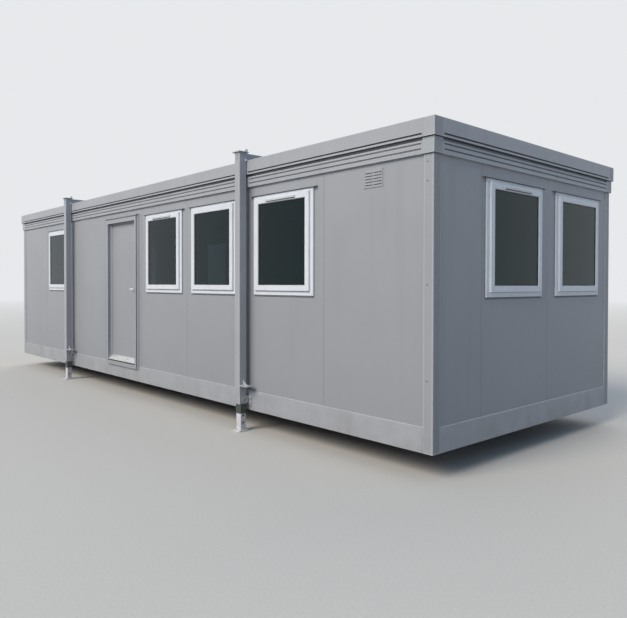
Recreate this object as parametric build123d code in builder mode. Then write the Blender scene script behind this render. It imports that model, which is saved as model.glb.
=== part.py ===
from build123d import *
import os

# Portable site cabin on four jack legs. Millimetres, +Z up. The origin is on the ground under the
# middle of the cabin, +X runs along its length and the wall with the door faces -Y.

# Body
length = 9930
width = 3170
clearance = 220
body_height = 2650
wall_thickness = 60
panel_inset = 8
seam_gap = 3
post_size = 100
post_wall = 4
post_edge_radius = 6

# Chassis and floor
rail_height = 200
rail_depth = 75
rail_wall = 6
cross_height = 140
cross_flange = 50
cross_wall = 4
cross_count = 9
floor_thickness = 45

# Roof and fascia
upper_band_height = 150
upper_band_proud = 32
upper_band_lap = 28
lower_band_height = 105
lower_band_proud = 16
shadow_gap = 25
upper_cap_width = 110
band_joint = 2
cap_joint = 4
groove_height = 14
groove_depth = 6
groove_end = 12
groove_leg_gap = 20
upper_groove_drops = (126,)
lower_groove_drops = (24, 66)
roof_deck_thickness = 100
roof_sheet_thickness = 2
roof_rib_height = 18
roof_rib_width = 60
roof_rib_slope = 60
roof_rib_pitch = 333

# Wall panels: seams counted from the middle of the cabin
middle_module = 1200
leg_station = 2465
window_module = 1220
end_seam_one = -914
end_seam_two = 215

# Windows
window_width = 950
window_height = 1030
window_head_drop = 111
window_lap = 25
window_side_bar = 42
window_bottom_bar = 42
window_top_bar = 30
window_proud = 16
window_edge = 4
window_inner_edge = 2
window_depth = 70
window_stop = 12
sash_bar = 60
sash_proud = 20
sash_depth = 66
sash_gap = 2
sash_edge = 4
sash_bevel = 6
glass_thickness = 24
glass_rebate = 15
glass_recess = 10
window_two_from_leg = 670
window_three_from_leg = 1845
end_window_one = -387
end_window_two = 829
drip_length = 1050
drip_height = 10
drip_depth = 32
drip_fall = 5
trickle_length = 450
trickle_height = 20
trickle_depth = 12
trickle_slope = 5
trickle_drop = 63

# Wall vent
vent_from_post = 549
vent_drop = 124
vent_width = 217
vent_height = 155
vent_plate = 6
vent_border = 14
vent_corner_radius = 4
vent_rows = 5
vent_slot_height = 12
vent_mullion = 14
louvre_proud = 7
louvre_drop = 8
louvre_thickness = 2

# Door
door_x = -585
door_frame_width = 960
door_frame_bottom = 170
door_frame_drop = 95
door_head_face = 35
door_frame_proud = 30
door_flange = 45
door_throat_lap = 15
door_rebate_wall = 10
door_head_lap = 10
door_head_stop = 58
door_architrave = 40
door_architrave_thickness = 8
sill_top = 240
threshold_top = 306
threshold_lip = 5
leaf_thickness = 44
leaf_bottom = 254
leaf_gap = 5
leaf_lock_gap = 7
stop_gap = 5

# Handle and lock
handle_height = 1270
handle_backset = 80
lock_drop = 130
plate_width = 44
plate_height = 230
plate_thickness = 8
spindle_radius = 8
lever_length = 120
lever_height = 18
lever_thickness = 10
lever_reach = 42
cylinder_radius = 9
cylinder_proud = 3
running_clearance = 0.05

# Hinges
hinge_height = 100
hinge_plate_width = 34
hinge_plate_thickness = 2.5
knuckle_radius = 7
knuckle_clearance = 0.3
knuckle_gap = 0.5
knuckle_room = 8
knuckle_split = 30
hinge_pin_radius = 4
hinge_pin_head = 2
hinge_end_distance = 180

# Legs
leg_size = 90
leg_wall = 4
leg_corner_radius = 8
leg_stand_off = 35
leg_above_beam = 5
leg_bottom = -30
cap_size = 125
cap_thickness = 10
eye_width = 38
eye_thickness = 12
eye_height = 32
eye_radius = 8
eye_along = 40
eye_back = 45
inner_leg_width = 80
inner_leg_depth = 65
inner_leg_back = 7.5
inner_leg_wall = 5
inner_leg_top = 560
inner_hole_pitch = 75
inner_holes_above = 1
inner_holes_below = 2
foot_size = 130
foot_thickness = 12
collar_wall = 5
collar_height = 100
collar_clearance = 1
collar_radius = 4
pin_radius = 12.5
pin_overhang = 5
beam_width = 80
beam_height = 70
beam_lift = 5
shelf_height = 263
shelf_length = 125
shelf_thickness = 10
gusset_height = 58
gusset_reach = 98
gusset_thickness = 8
gusset_nose = 6
gusset_hollow = 12
shelf_corner = 15
cleat_low = 48
cleat_high = 156
cleat_width = 54
cleat_thickness = 10
cleat_collar_gap = 4

# Places worked out from the sizes above. Heights are from the ground.
base = clearance
rail_top = base + rail_height
wall_top = base + body_height - upper_band_height
wall_height = wall_top - rail_top
lower_band_bottom = wall_top - shadow_gap - lower_band_height
floor_top = rail_top + floor_thickness
half_length = length / 2
half_width = width / 2
panel_face = half_width - panel_inset
panel_end_face = half_length - panel_inset
post_inner_x = half_length - post_size
post_inner_y = half_width - post_size
leg_y = half_width + leg_stand_off + leg_size / 2
leg_top = body_height + beam_lift + beam_height + leg_above_beam

SIDES = {
    "front": Plane(origin=(0, 0, 0), x_dir=(1, 0, 0), z_dir=(0, -1, 0)),
    "back": Plane(origin=(0, 0, 0), x_dir=(-1, 0, 0), z_dir=(0, 1, 0)),
    "right": Plane(origin=(0, 0, 0), x_dir=(0, 1, 0), z_dir=(1, 0, 0)),
    "left": Plane(origin=(0, 0, 0), x_dir=(0, -1, 0), z_dir=(-1, 0, 0)),
}


def reach(side):
    """Distance from the middle of the cabin to the frame plane of that side."""
    return half_width if side in ("front", "back") else half_length


def along(side, place):
    """A place along X or Y, as seen on the side's own plane, where right is positive."""
    return place if side in ("front", "right") else -place


def outside(side, distance):
    """The side's plane, moved out from the middle of the cabin."""
    return SIDES[side].offset(distance)


def block(plane, low_u, high_u, low_v, high_v, depth, mode=Mode.ADD):
    """A plain block on a plane: its two ranges there, and how far it goes along the normal."""
    with BuildSketch(plane) as outline:
        with Locations(((low_u + high_u) / 2, (low_v + high_v) / 2)):
            Rectangle(high_u - low_u, high_v - low_v)
    extrude(outline.sketch, amount=depth, mode=mode)


def write(piece, name):
    """Labels a finished piece and writes its own STEP file."""
    piece.part.label = name
    export_step(piece.part, f"parts/{name}.step")


os.makedirs("parts", exist_ok=True)

# Chassis: box rails between the corner posts, channel cross members between the long rails
with BuildPart() as chassis_side_rails:
    for sign in (-1, 1):
        with BuildSketch(Plane.YZ.offset(-post_inner_x)):
            with Locations((sign * (half_width - rail_depth / 2), base + rail_height / 2)):
                Rectangle(rail_depth, rail_height)
                Rectangle(rail_depth - 2 * rail_wall, rail_height - 2 * rail_wall, mode=Mode.SUBTRACT)
        extrude(amount=2 * post_inner_x)
write(chassis_side_rails, "chassis_side_rails")

with BuildPart() as chassis_end_rails:
    for sign in (-1, 1):
        with BuildSketch(Plane.XZ.offset(-post_inner_y)):
            with Locations((sign * (half_length - rail_depth / 2), base + rail_height / 2)):
                Rectangle(rail_depth, rail_height)
                Rectangle(rail_depth - 2 * rail_wall, rail_height - 2 * rail_wall, mode=Mode.SUBTRACT)
        extrude(amount=2 * post_inner_y)
write(chassis_end_rails, "chassis_end_rails")

cross_reach = half_width - rail_depth
cross_pitch = 2 * (half_length - rail_depth) / (cross_count + 1)
with BuildPart() as chassis_cross_members:
    for number in range(cross_count):
        centre = (number - (cross_count - 1) / 2) * cross_pitch
        with BuildSketch(Plane.XZ.offset(-cross_reach)):
            with Locations((centre, rail_top - cross_height / 2)):
                Rectangle(cross_flange, cross_height)
            with Locations((centre + cross_wall / 2, rail_top - cross_height / 2)):
                Rectangle(cross_flange - cross_wall, cross_height - 2 * cross_wall, mode=Mode.SUBTRACT)
        extrude(amount=2 * cross_reach)
write(chassis_cross_members, "chassis_cross_members")

floor_half_x = panel_end_face - wall_thickness
floor_half_y = panel_face - wall_thickness
corner_notch_x = floor_half_x - post_inner_x
corner_notch_y = floor_half_y - post_inner_y
with BuildPart() as floor_deck:
    with BuildSketch(Plane.XY.offset(rail_top)):
        Rectangle(2 * floor_half_x, 2 * floor_half_y)
        with GridLocations(2 * floor_half_x - corner_notch_x, 2 * floor_half_y - corner_notch_y, 2, 2):
            Rectangle(corner_notch_x, corner_notch_y, mode=Mode.SUBTRACT)
    extrude(amount=floor_thickness)
write(floor_deck, "floor_deck")

# Corner posts: square tubes from the underside to the top of the walls
with BuildPart() as corner_posts:
    with BuildSketch(Plane.XY.offset(base)):
        with GridLocations(length - post_size, width - post_size, 2, 2):
            RectangleRounded(post_size, post_size, post_edge_radius)
            Rectangle(post_size - 2 * post_wall, post_size - 2 * post_wall, mode=Mode.SUBTRACT)
    extrude(amount=wall_top - base)
write(corner_posts, "corner_posts")

# Wall panels. A window's hole is the frame's outline less the lap that covers its edge.
hole_width = window_width - 2 * window_lap
hole_height = window_height - 2 * window_lap
window_head = lower_band_bottom - window_head_drop
window_centre = window_head - window_height / 2
long_wall_windows = (
    leg_station + window_module / 2,
    leg_station - window_two_from_leg,
    leg_station - window_three_from_leg,
    -leg_station - window_module / 2,
)
end_wall_windows = (end_window_one, end_window_two)


def wall_panels(side, ranges, windows=()):
    """Panels on one side, each from one seam to the next, with the holes of the windows in them."""
    face = outside(side, reach(side) - panel_inset)
    for low, high in ranges:
        low_u, high_u = sorted((along(side, low), along(side, high)))
        with BuildSketch(face) as outline:
            with Locations(((low_u + high_u) / 2, rail_top + wall_height / 2)):
                Rectangle(high_u - low_u, wall_height)
            for centre in windows:
                if low < centre < high:
                    with Locations((along(side, centre), window_centre)):
                        Rectangle(hole_width, hole_height, mode=Mode.SUBTRACT)
        extrude(outline.sketch, amount=-wall_thickness)


def seams_to_ranges(seams):
    """Panel ranges between seams, with half of the seam's gap taken off at each inner seam."""
    ranges = []
    for low, high in zip(seams[:-1], seams[1:]):
        start = low if low == seams[0] else low + seam_gap / 2
        stop = high if high == seams[-1] else high - seam_gap / 2
        ranges.append((start, stop))
    return ranges


outer_seam = leg_station + window_module
long_seams = [
    -post_inner_x, -outer_seam, -leg_station, -middle_module, 0,
    middle_module, leg_station, outer_seam, post_inner_x,
]
end_seams = [-post_inner_y, end_seam_one, end_seam_two, post_inner_y]
(
    far_plain, far_window, middle_plain, door_panel,
    near_window_three, near_window_two, near_window_one, vent_panel,
) = seams_to_ranges(long_seams)

with BuildPart() as front_window_panels:
    wall_panels("front", (far_window, near_window_three, near_window_two, near_window_one), long_wall_windows)
write(front_window_panels, "front_window_panels")

with BuildPart() as front_plain_panels:
    wall_panels("front", (far_plain, middle_plain))
write(front_plain_panels, "front_plain_panels")

vent_x = post_inner_x - vent_from_post
vent_z = lower_band_bottom - vent_drop
vent_hole_width = vent_width - 2 * vent_border
vent_hole_height = vent_height - 2 * vent_border
with BuildPart() as front_vent_panel:
    wall_panels("front", (vent_panel,))
    block(
        outside("front", panel_face),
        vent_x - vent_hole_width / 2, vent_x + vent_hole_width / 2,
        vent_z - vent_hole_height / 2, vent_z + vent_hole_height / 2,
        -wall_thickness, Mode.SUBTRACT,
    )
write(front_vent_panel, "front_vent_panel")

# The door's panel is split beside and over the doorway
throat_half = door_frame_width / 2 - door_throat_lap
throat_low = door_x - throat_half
throat_high = door_x + throat_half
door_frame_top = lower_band_bottom - door_frame_drop
throat_top = door_frame_top - door_head_lap
for name, low, high, bottom in (
    ("front_door_panel_left", door_panel[0], throat_low, rail_top),
    ("front_door_panel_right", throat_high, door_panel[1], rail_top),
    ("front_door_panel_head", throat_low, throat_high, throat_top),
):
    with BuildPart() as door_side_panel:
        block(outside("front", panel_face), low, high, bottom, wall_top, -wall_thickness)
    write(door_side_panel, name)

with BuildPart() as back_wall_panels:
    wall_panels("back", seams_to_ranges(long_seams), long_wall_windows)
write(back_wall_panels, "back_wall_panels")

for side in ("right", "left"):
    with BuildPart() as end_panels:
        wall_panels(side, seams_to_ranges(end_seams), end_wall_windows)
    write(end_panels, f"{side}_end_panels")

# Roof: an insulated deck on the walls, under a ribbed sheet inside the fascia
deck_half_x = half_length - upper_band_lap
deck_half_y = half_width - upper_band_lap
deck_top = wall_top + roof_deck_thickness
with BuildPart() as roof_deck:
    with BuildSketch(Plane.XY.offset(wall_top)):
        Rectangle(2 * deck_half_x, 2 * deck_half_y)
    extrude(amount=roof_deck_thickness)
write(roof_deck, "roof_deck")

rib_count = int(2 * deck_half_x // roof_rib_pitch) - 1
with BuildPart() as roof_sheet:
    with BuildSketch(Plane.XY.offset(deck_top)):
        Rectangle(2 * deck_half_x, 2 * deck_half_y)
    extrude(amount=roof_sheet_thickness)
    with BuildSketch(Plane.XZ.offset(-deck_half_y)):
        for number in range(rib_count):
            with Locations(((number - (rib_count - 1) / 2) * roof_rib_pitch, deck_top + roof_rib_height / 2)):
                Trapezoid(roof_rib_width, roof_rib_height, roof_rib_slope)
    extrude(amount=2 * deck_half_y)
write(roof_sheet, "roof_sheet")


def groove_runs(side, end):
    """The stretches of a groove: it stops short of the corner caps and of both legs on a long side."""
    if side in ("right", "left"):
        return ((-end, end),)
    leg_low = leg_station - leg_size / 2 - groove_leg_gap
    leg_high = leg_station + leg_size / 2 + groove_leg_gap
    return ((-end, -leg_high), (-leg_low, leg_low), (leg_high, end))


def bands(bottom, height, proud, back, cap, groove_drops):
    """One fascia band along each side between the corner caps, with pressed grooves in its face."""
    for side in SIDES:
        half = half_length if side in ("front", "back") else half_width
        end = half + proud - cap - band_joint
        block(outside(side, reach(side) - back), -end, end, bottom, bottom + height, proud + back)
        with BuildSketch(outside(side, reach(side) + proud)) as outline:
            for low, high in groove_runs(side, end - groove_end):
                for drop in groove_drops:
                    with Locations(((low + high) / 2, bottom + height - drop)):
                        Rectangle(high - low, groove_height)
        extrude(outline.sketch, amount=-groove_depth, mode=Mode.SUBTRACT)


upper_band_bottom = wall_top
lower_cap_width = post_size + lower_band_proud
with BuildPart() as fascia_upper_band:
    bands(
        upper_band_bottom, upper_band_height, upper_band_proud, upper_band_lap, upper_cap_width,
        upper_groove_drops,
    )
write(fascia_upper_band, "fascia_upper_band")

with BuildPart() as fascia_lower_band:
    bands(
        lower_band_bottom, lower_band_height, lower_band_proud, panel_inset, lower_cap_width,
        lower_groove_drops,
    )
write(fascia_lower_band, "fascia_lower_band")

# Corner caps: smooth folded corners that close the ends of both bands. The lower one also closes
# the shadow gap and meets the upper one at a narrow joint.
lower_cap_height = wall_top - cap_joint - lower_band_bottom
with BuildPart() as fascia_corner_caps:
    for bottom, height, proud, back, cap in (
        (upper_band_bottom, upper_band_height, upper_band_proud, upper_band_lap, upper_cap_width),
        (lower_band_bottom, lower_cap_height, lower_band_proud, 0, lower_cap_width),
    ):
        with BuildSketch(Plane.XY.offset(bottom)):
            for sign_x, sign_y in ((-1, -1), (-1, 1), (1, -1), (1, 1)):
                corner_x = sign_x * (half_length + proud)
                corner_y = sign_y * (half_width + proud)
                with Locations((corner_x - sign_x * cap / 2, corner_y - sign_y * cap / 2)):
                    Rectangle(cap, cap)
                inner = cap - proud - back
                with Locations((
                    corner_x - sign_x * (proud + back + inner / 2),
                    corner_y - sign_y * (proud + back + inner / 2),
                )):
                    Rectangle(inner, inner, mode=Mode.SUBTRACT)
        extrude(amount=height)
write(fascia_corner_caps, "fascia_corner_caps")

# Windows: the same frame, sash and glass unit in every hole. One of each is drawn flat, with the
# middle of its hole at the origin and the panel's face at height 0, and stood up in its places.
WINDOW_PLACES = (
    [("front", place) for place in long_wall_windows]
    + [("back", place) for place in long_wall_windows]
    + [("right", place) for place in end_wall_windows]
    + [("left", place) for place in end_wall_windows]
)
TRICKLE_PLACES = (
    ("front", long_wall_windows[0]), ("front", long_wall_windows[2]), ("right", end_wall_windows[0]),
)


def window_location(side, place):
    """Where one window stands: on the panel's face, at its place along the wall."""
    return outside(side, reach(side) - panel_inset) * Location((along(side, place), window_centre, 0))


def in_every_hole(one_window_piece, name, places=WINDOW_PLACES):
    """Copies a piece of one window to each of the places and writes them as one node."""
    with BuildPart() as pieces:
        with Locations([window_location(side, place) for side, place in places]):
            add(one_window_piece.part)
    write(pieces, name)


frame_inner_width = window_width - 2 * window_side_bar
frame_inner_height = window_height - window_bottom_bar - window_top_bar
frame_inner_rise = (window_bottom_bar - window_top_bar) / 2
sash_width = frame_inner_width - 2 * sash_gap
sash_height = frame_inner_height - 2 * sash_gap
sash_face = window_proud + sash_proud
sash_back = sash_depth - sash_face
glass_face = sash_face - glass_recess
glass_width = sash_width - 2 * sash_bar
glass_height = sash_height - 2 * sash_bar

with BuildPart() as one_frame:
    for outer_width, outer_height, lip, start, depth in (
        (hole_width, hole_height, 0, 0, -sash_back),
        (hole_width, hole_height, window_stop, -sash_back, sash_back - window_depth + window_proud),
        (window_width, window_height, 0, 0, window_proud),
    ):
        with BuildSketch(Plane.XY.offset(start)):
            Rectangle(outer_width, outer_height)
            with Locations((0, frame_inner_rise)):
                Rectangle(frame_inner_width - 2 * lip, frame_inner_height - 2 * lip, mode=Mode.SUBTRACT)
        extrude(amount=depth)
    chamfer(one_frame.faces().sort_by(Axis.Z)[-1].outer_wire().edges(), window_edge)
    chamfer(one_frame.faces().sort_by(Axis.Z)[-1].inner_wires()[0].edges(), window_inner_edge)
in_every_hole(one_frame, "window_frames")

# The sash holds the glass in a rebate behind bars that are bevelled down to it
with BuildPart() as one_sash:
    with BuildSketch(Plane((0, frame_inner_rise, sash_face))):
        Rectangle(sash_width, sash_height)
        Rectangle(glass_width, glass_height, mode=Mode.SUBTRACT)
    extrude(amount=-sash_depth)
    for height, bevel in ((glass_face, 0), (sash_face, sash_bevel)):
        with BuildSketch(Plane((0, frame_inner_rise, height))):
            Rectangle(glass_width + 2 * bevel, glass_height + 2 * bevel)
    loft(mode=Mode.SUBTRACT)
    with BuildSketch(Plane((0, frame_inner_rise, glass_face))):
        Rectangle(glass_width + 2 * glass_rebate, glass_height + 2 * glass_rebate)
    extrude(amount=-glass_thickness, mode=Mode.SUBTRACT)
    chamfer(one_sash.faces().sort_by(Axis.Z)[-1].outer_wire().edges(), sash_edge)
in_every_hole(one_sash, "window_sashes")

with BuildPart() as one_glass:
    with BuildSketch(Plane((0, frame_inner_rise, glass_face))):
        Rectangle(glass_width + 2 * glass_rebate, glass_height + 2 * glass_rebate)
    extrude(amount=-glass_thickness)
in_every_hole(one_glass, "window_glass")

# Drips: folded strips over the windows that fall away from the wall
with BuildPart() as one_drip:
    with BuildSketch(Plane.YZ.offset(-drip_length / 2)):
        with BuildLine():
            Polyline(
                (window_height / 2, 0),
                (window_height / 2, drip_depth),
                (window_height / 2 + drip_height - drip_fall, drip_depth),
                (window_height / 2 + drip_height, 0),
                close=True,
            )
        make_face()
    extrude(amount=drip_length)
in_every_hole(one_drip, "window_drips")

# Trickle vents: sloped hoods over the slots in the heads of three sashes
with BuildPart() as one_hood:
    with BuildSketch(Plane((0, window_height / 2 - trickle_drop, sash_face))):
        Rectangle(trickle_length, trickle_height)
    extrude(amount=trickle_depth)
    chamfer(one_hood.faces().sort_by(Axis.Z)[-1].edges().sort_by(Axis.Y)[-1], trickle_slope)
in_every_hole(one_hood, "trickle_vents", TRICKLE_PLACES)

# Wall vent: a pressed plate with two columns of slots, each under a sloped louvre
slot_width = (vent_hole_width - vent_mullion) / 2
slot_pitch = vent_hole_height / vent_rows
with BuildPart() as vent_grille:
    with BuildSketch(outside("front", panel_face)):
        with Locations((vent_x, vent_z)):
            RectangleRounded(vent_width, vent_height, vent_corner_radius)
            with GridLocations(slot_width + vent_mullion, slot_pitch, 2, vent_rows):
                Rectangle(slot_width, vent_slot_height, mode=Mode.SUBTRACT)
    extrude(amount=vent_plate)
    louvre_root = -panel_face - vent_plate
    for column in (-1, 1):
        slot_x = vent_x + column * (slot_width + vent_mullion) / 2
        for row in range(vent_rows):
            slot_top = vent_z + (row - (vent_rows - 1) / 2) * slot_pitch + vent_slot_height / 2
            with BuildSketch(Plane.YZ.offset(slot_x - slot_width / 2)):
                with BuildLine():
                    Polyline(
                        (louvre_root, slot_top),
                        (louvre_root - louvre_proud, slot_top - louvre_drop),
                        (louvre_root - louvre_proud, slot_top - louvre_drop + louvre_thickness),
                        (louvre_root, slot_top + louvre_thickness),
                        close=True,
                    )
                make_face()
            extrude(amount=slot_width)
write(vent_grille, "vent_grille")

# Door frame: jambs, head and sill with a rebate that the leaf closes against from inside.
# The leaf comes out 1981 high, a standard door.
flange_low = door_x - door_frame_width / 2
flange_high = door_x + door_frame_width / 2
stop_low = flange_low + door_flange
stop_high = flange_high - door_flange
rebate_low = throat_low + door_rebate_wall
rebate_high = throat_high - door_rebate_wall
flange_face = half_width + door_frame_proud
inner_face = panel_face - wall_thickness
leaf_inner = inner_face - door_architrave_thickness
leaf_outer = leaf_inner + leaf_thickness
stop_back = leaf_outer + stop_gap
stop_top = door_frame_top - door_head_stop
leaf_low_z = base + leaf_bottom
rebate_top = door_frame_top - door_head_face
leaf_top_z = rebate_top - leaf_gap


def jamb(flange_edge, stop_edge, throat_edge, rebate_edge, architrave_edge):
    """One jamb: outer flange, stop, rebate wall and inner architrave, each a range across the doorway."""
    for edge_a, edge_b, near, far, low, high in (
        (flange_edge, stop_edge, half_width, flange_face, base + door_frame_bottom, door_frame_top),
        (throat_edge, stop_edge, stop_back, half_width, rail_top, throat_top),
        (throat_edge, rebate_edge, inner_face, stop_back, rail_top, throat_top),
        (architrave_edge, rebate_edge, leaf_inner, inner_face, floor_top, rebate_top + door_architrave),
    ):
        block(outside("front", near), min(edge_a, edge_b), max(edge_a, edge_b), low, high, far - near)


with BuildPart() as door_jamb_hinge_side:
    jamb(flange_low, stop_low, throat_low, rebate_low, throat_low - door_architrave)
write(door_jamb_hinge_side, "door_jamb_hinge_side")

with BuildPart() as door_jamb_lock_side:
    jamb(flange_high, stop_high, throat_high, rebate_high, throat_high + door_architrave)
write(door_jamb_lock_side, "door_jamb_lock_side")

with BuildPart() as door_head:
    block(outside("front", half_width), stop_low, stop_high, stop_top, door_frame_top, door_frame_proud)
    block(outside("front", stop_back), stop_low, stop_high, stop_top, throat_top, half_width - stop_back)
    block(
        outside("front", leaf_inner), rebate_low, rebate_high, rebate_top, throat_top,
        stop_back - leaf_inner,
    )
    block(
        outside("front", leaf_inner), rebate_low, rebate_high, rebate_top, rebate_top + door_architrave,
        door_architrave_thickness,
    )
write(door_head, "door_head")

with BuildPart() as door_sill:
    block(
        outside("front", half_width), stop_low, stop_high, base + door_frame_bottom, base + sill_top,
        door_frame_proud,
    )
    block(outside("front", stop_back), stop_low, stop_high, rail_top, base + sill_top, half_width - stop_back)
    block(
        outside("front", inner_face), rebate_low, rebate_high, rail_top, base + sill_top,
        stop_back - inner_face,
    )
write(door_sill, "door_sill")

# Threshold: a sloped plate that sheds water in front of the leaf
threshold_front = flange_face - threshold_lip
with BuildPart() as door_threshold:
    with BuildSketch(Plane.YZ.offset(stop_low)):
        with BuildLine():
            Polyline(
                (-threshold_front, base + sill_top),
                (-stop_back, base + sill_top),
                (-stop_back, base + threshold_top),
                (-stop_back - threshold_lip, base + threshold_top),
                (-threshold_front, base + sill_top + threshold_lip),
                close=True,
            )
        make_face()
    extrude(amount=stop_high - stop_low)
write(door_threshold, "door_threshold")

# Door leaf, with bores for the lever's spindle and the lock cylinder
leaf_low = rebate_low + leaf_gap
leaf_high = rebate_high - leaf_lock_gap
handle_x = leaf_high - handle_backset
handle_z = base + handle_height
lock_z = handle_z - lock_drop
with BuildPart() as door_leaf:
    block(outside("front", leaf_inner), leaf_low, leaf_high, leaf_low_z, leaf_top_z, leaf_thickness)
    with BuildSketch(outside("front", leaf_inner)):
        with Locations((handle_x, handle_z)):
            Circle(spindle_radius + running_clearance)
        with Locations((handle_x, lock_z)):
            Circle(cylinder_radius)
    extrude(amount=leaf_thickness, mode=Mode.SUBTRACT)
write(door_leaf, "door_leaf")

plate_centre = handle_z - lock_drop / 2
with BuildPart() as door_handle_plates:
    for distance, depth in ((leaf_outer, plate_thickness), (leaf_inner, -plate_thickness)):
        with BuildSketch(outside("front", distance)):
            with Locations((handle_x, plate_centre)):
                RectangleRounded(plate_width, plate_height, plate_width / 4)
            with Locations((handle_x, handle_z)):
                Circle(spindle_radius + running_clearance, mode=Mode.SUBTRACT)
            with Locations((handle_x, lock_z)):
                Circle(cylinder_radius, mode=Mode.SUBTRACT)
        extrude(amount=depth)
write(door_handle_plates, "door_handle_plates")

with BuildPart() as door_levers:
    with BuildSketch(outside("front", leaf_inner - plate_thickness - lever_reach)):
        with Locations((handle_x, handle_z)):
            Circle(spindle_radius)
    extrude(amount=leaf_thickness + 2 * (plate_thickness + lever_reach))
    for distance in (leaf_outer + plate_thickness + lever_reach - lever_thickness,
                     leaf_inner - plate_thickness - lever_reach):
        with BuildSketch(outside("front", distance)):
            with Locations((handle_x - lever_length / 2 + lever_height / 2, handle_z)):
                SlotOverall(lever_length, lever_height)
        extrude(amount=lever_thickness)
write(door_levers, "door_levers")

with BuildPart() as door_lock:
    with BuildSketch(outside("front", leaf_inner - plate_thickness - cylinder_proud)):
        with Locations((handle_x, lock_z)):
            Circle(cylinder_radius)
    extrude(amount=leaf_thickness + 2 * (plate_thickness + cylinder_proud))
write(door_lock, "door_lock")

# Hinges inside the room: each has two frame knuckles, one door knuckle between them and a pin
hinge_x = (rebate_low + leaf_low) / 2
hinge_y = -(leaf_inner - knuckle_radius - knuckle_clearance)
hinge_heights = (
    leaf_low_z + hinge_end_distance,
    (leaf_low_z + leaf_top_z) / 2,
    leaf_top_z - hinge_end_distance,
)


def hinge_leaf(direction, centre_z, knuckles, bore):
    """One leaf of a hinge: a plate on the jamb or the leaf, cut back beside the other leaf's knuckles."""
    low_z = centre_z - hinge_height / 2
    far = hinge_x + direction * hinge_plate_width
    near = hinge_x + direction * knuckle_room
    plate_plane = outside("front", leaf_inner - hinge_plate_thickness)
    block(plate_plane, min(far, near), max(far, near), low_z, low_z + hinge_height, hinge_plate_thickness)
    for start, stop in knuckles:
        block(
            plate_plane, min(far, hinge_x), max(far, hinge_x), low_z + start, low_z + stop,
            hinge_plate_thickness,
        )
        with BuildSketch(Plane.XY.offset(low_z + start)) as outline:
            with Locations((hinge_x, hinge_y)):
                Circle(knuckle_radius)
        extrude(outline.sketch, amount=stop - start)
        with BuildSketch(Plane.XY.offset(low_z + start)) as outline:
            with Locations((hinge_x, hinge_y)):
                Circle(bore)
        extrude(outline.sketch, amount=stop - start, mode=Mode.SUBTRACT)


with BuildPart() as hinge_frame_leaves:
    for height in hinge_heights:
        hinge_leaf(
            -1, height, ((0, knuckle_split), (hinge_height - knuckle_split, hinge_height)), hinge_pin_radius,
        )
write(hinge_frame_leaves, "hinge_frame_leaves")

with BuildPart() as hinge_door_leaves:
    for height in hinge_heights:
        hinge_leaf(
            1, height, ((knuckle_split + knuckle_gap, hinge_height - knuckle_split - knuckle_gap),),
            hinge_pin_radius + running_clearance,
        )
write(hinge_door_leaves, "hinge_door_leaves")

with BuildPart() as hinge_pins:
    for height in hinge_heights:
        with BuildSketch(Plane.XY.offset(height - hinge_height / 2 - hinge_pin_head)):
            with Locations((hinge_x, hinge_y)):
                Circle(hinge_pin_radius)
        extrude(amount=hinge_height + 2 * hinge_pin_head)
write(hinge_pins, "hinge_pins")

# Legs: at both leg stations, front and back
LEG_PLACES = [(x, y) for x in (-leg_station, leg_station) for y in (-leg_y, leg_y)]


def outward(y):
    """-1 for the front legs and 1 for the back ones."""
    return -1 if y < 0 else 1


# The telescoping inner legs stand nearer to the cabin than the middle of the outer ones
INNER_PLACES = [(x, y - outward(y) * inner_leg_back) for x, y in LEG_PLACES]
pin_z = base + leg_bottom + collar_height / 2
leg_foot = leg_bottom + collar_height


def pin_holes(length, heights):
    """Holes for the pins, across each inner leg's place."""
    for x, y in INNER_PLACES:
        with BuildSketch(Plane.YZ.offset(x - length / 2)) as circles:
            for height in heights:
                with Locations((y, height)):
                    Circle(pin_radius)
        extrude(circles.sketch, amount=length, mode=Mode.SUBTRACT)


with BuildPart() as leg_tubes:
    with BuildSketch(Plane.XY.offset(base + leg_foot)):
        with Locations(LEG_PLACES):
            RectangleRounded(leg_size, leg_size, leg_corner_radius)
            Rectangle(leg_size - 2 * leg_wall, leg_size - 2 * leg_wall, mode=Mode.SUBTRACT)
    extrude(amount=leg_top - leg_foot)
write(leg_tubes, "leg_tubes")

with BuildPart() as leg_caps:
    with BuildSketch(Plane.XY.offset(base + leg_top)):
        with Locations(LEG_PLACES):
            Rectangle(cap_size, cap_size)
    extrude(amount=cap_thickness)
    eye_base = base + leg_top + cap_thickness
    for x, y in LEG_PLACES:
        eye_x = x + eye_along
        eye_y = y - outward(y) * eye_back
        with BuildSketch(Plane.XZ.offset(-eye_y - eye_thickness / 2)):
            with Locations((eye_x, eye_base + (eye_height - eye_width / 2) / 2)):
                Rectangle(eye_width, eye_height - eye_width / 2)
            with Locations((eye_x, eye_base + eye_height - eye_width / 2)):
                Circle(eye_width / 2)
                Circle(eye_radius, mode=Mode.SUBTRACT)
        extrude(amount=eye_thickness)
write(leg_caps, "leg_caps")

with BuildPart() as inner_legs:
    with BuildSketch(Plane.XY):
        with Locations(INNER_PLACES):
            Rectangle(foot_size, foot_size)
    extrude(amount=foot_thickness)
    with BuildSketch(Plane.XY.offset(foot_thickness)):
        with Locations(INNER_PLACES):
            Rectangle(inner_leg_width, inner_leg_depth)
            Rectangle(
                inner_leg_width - 2 * inner_leg_wall, inner_leg_depth - 2 * inner_leg_wall,
                mode=Mode.SUBTRACT,
            )
    extrude(amount=inner_leg_top - foot_thickness)
    hole_numbers = range(-inner_holes_below, inner_holes_above + 1)
    pin_holes(inner_leg_width, [pin_z + number * inner_hole_pitch for number in hole_numbers])
write(inner_legs, "inner_legs")

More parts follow.
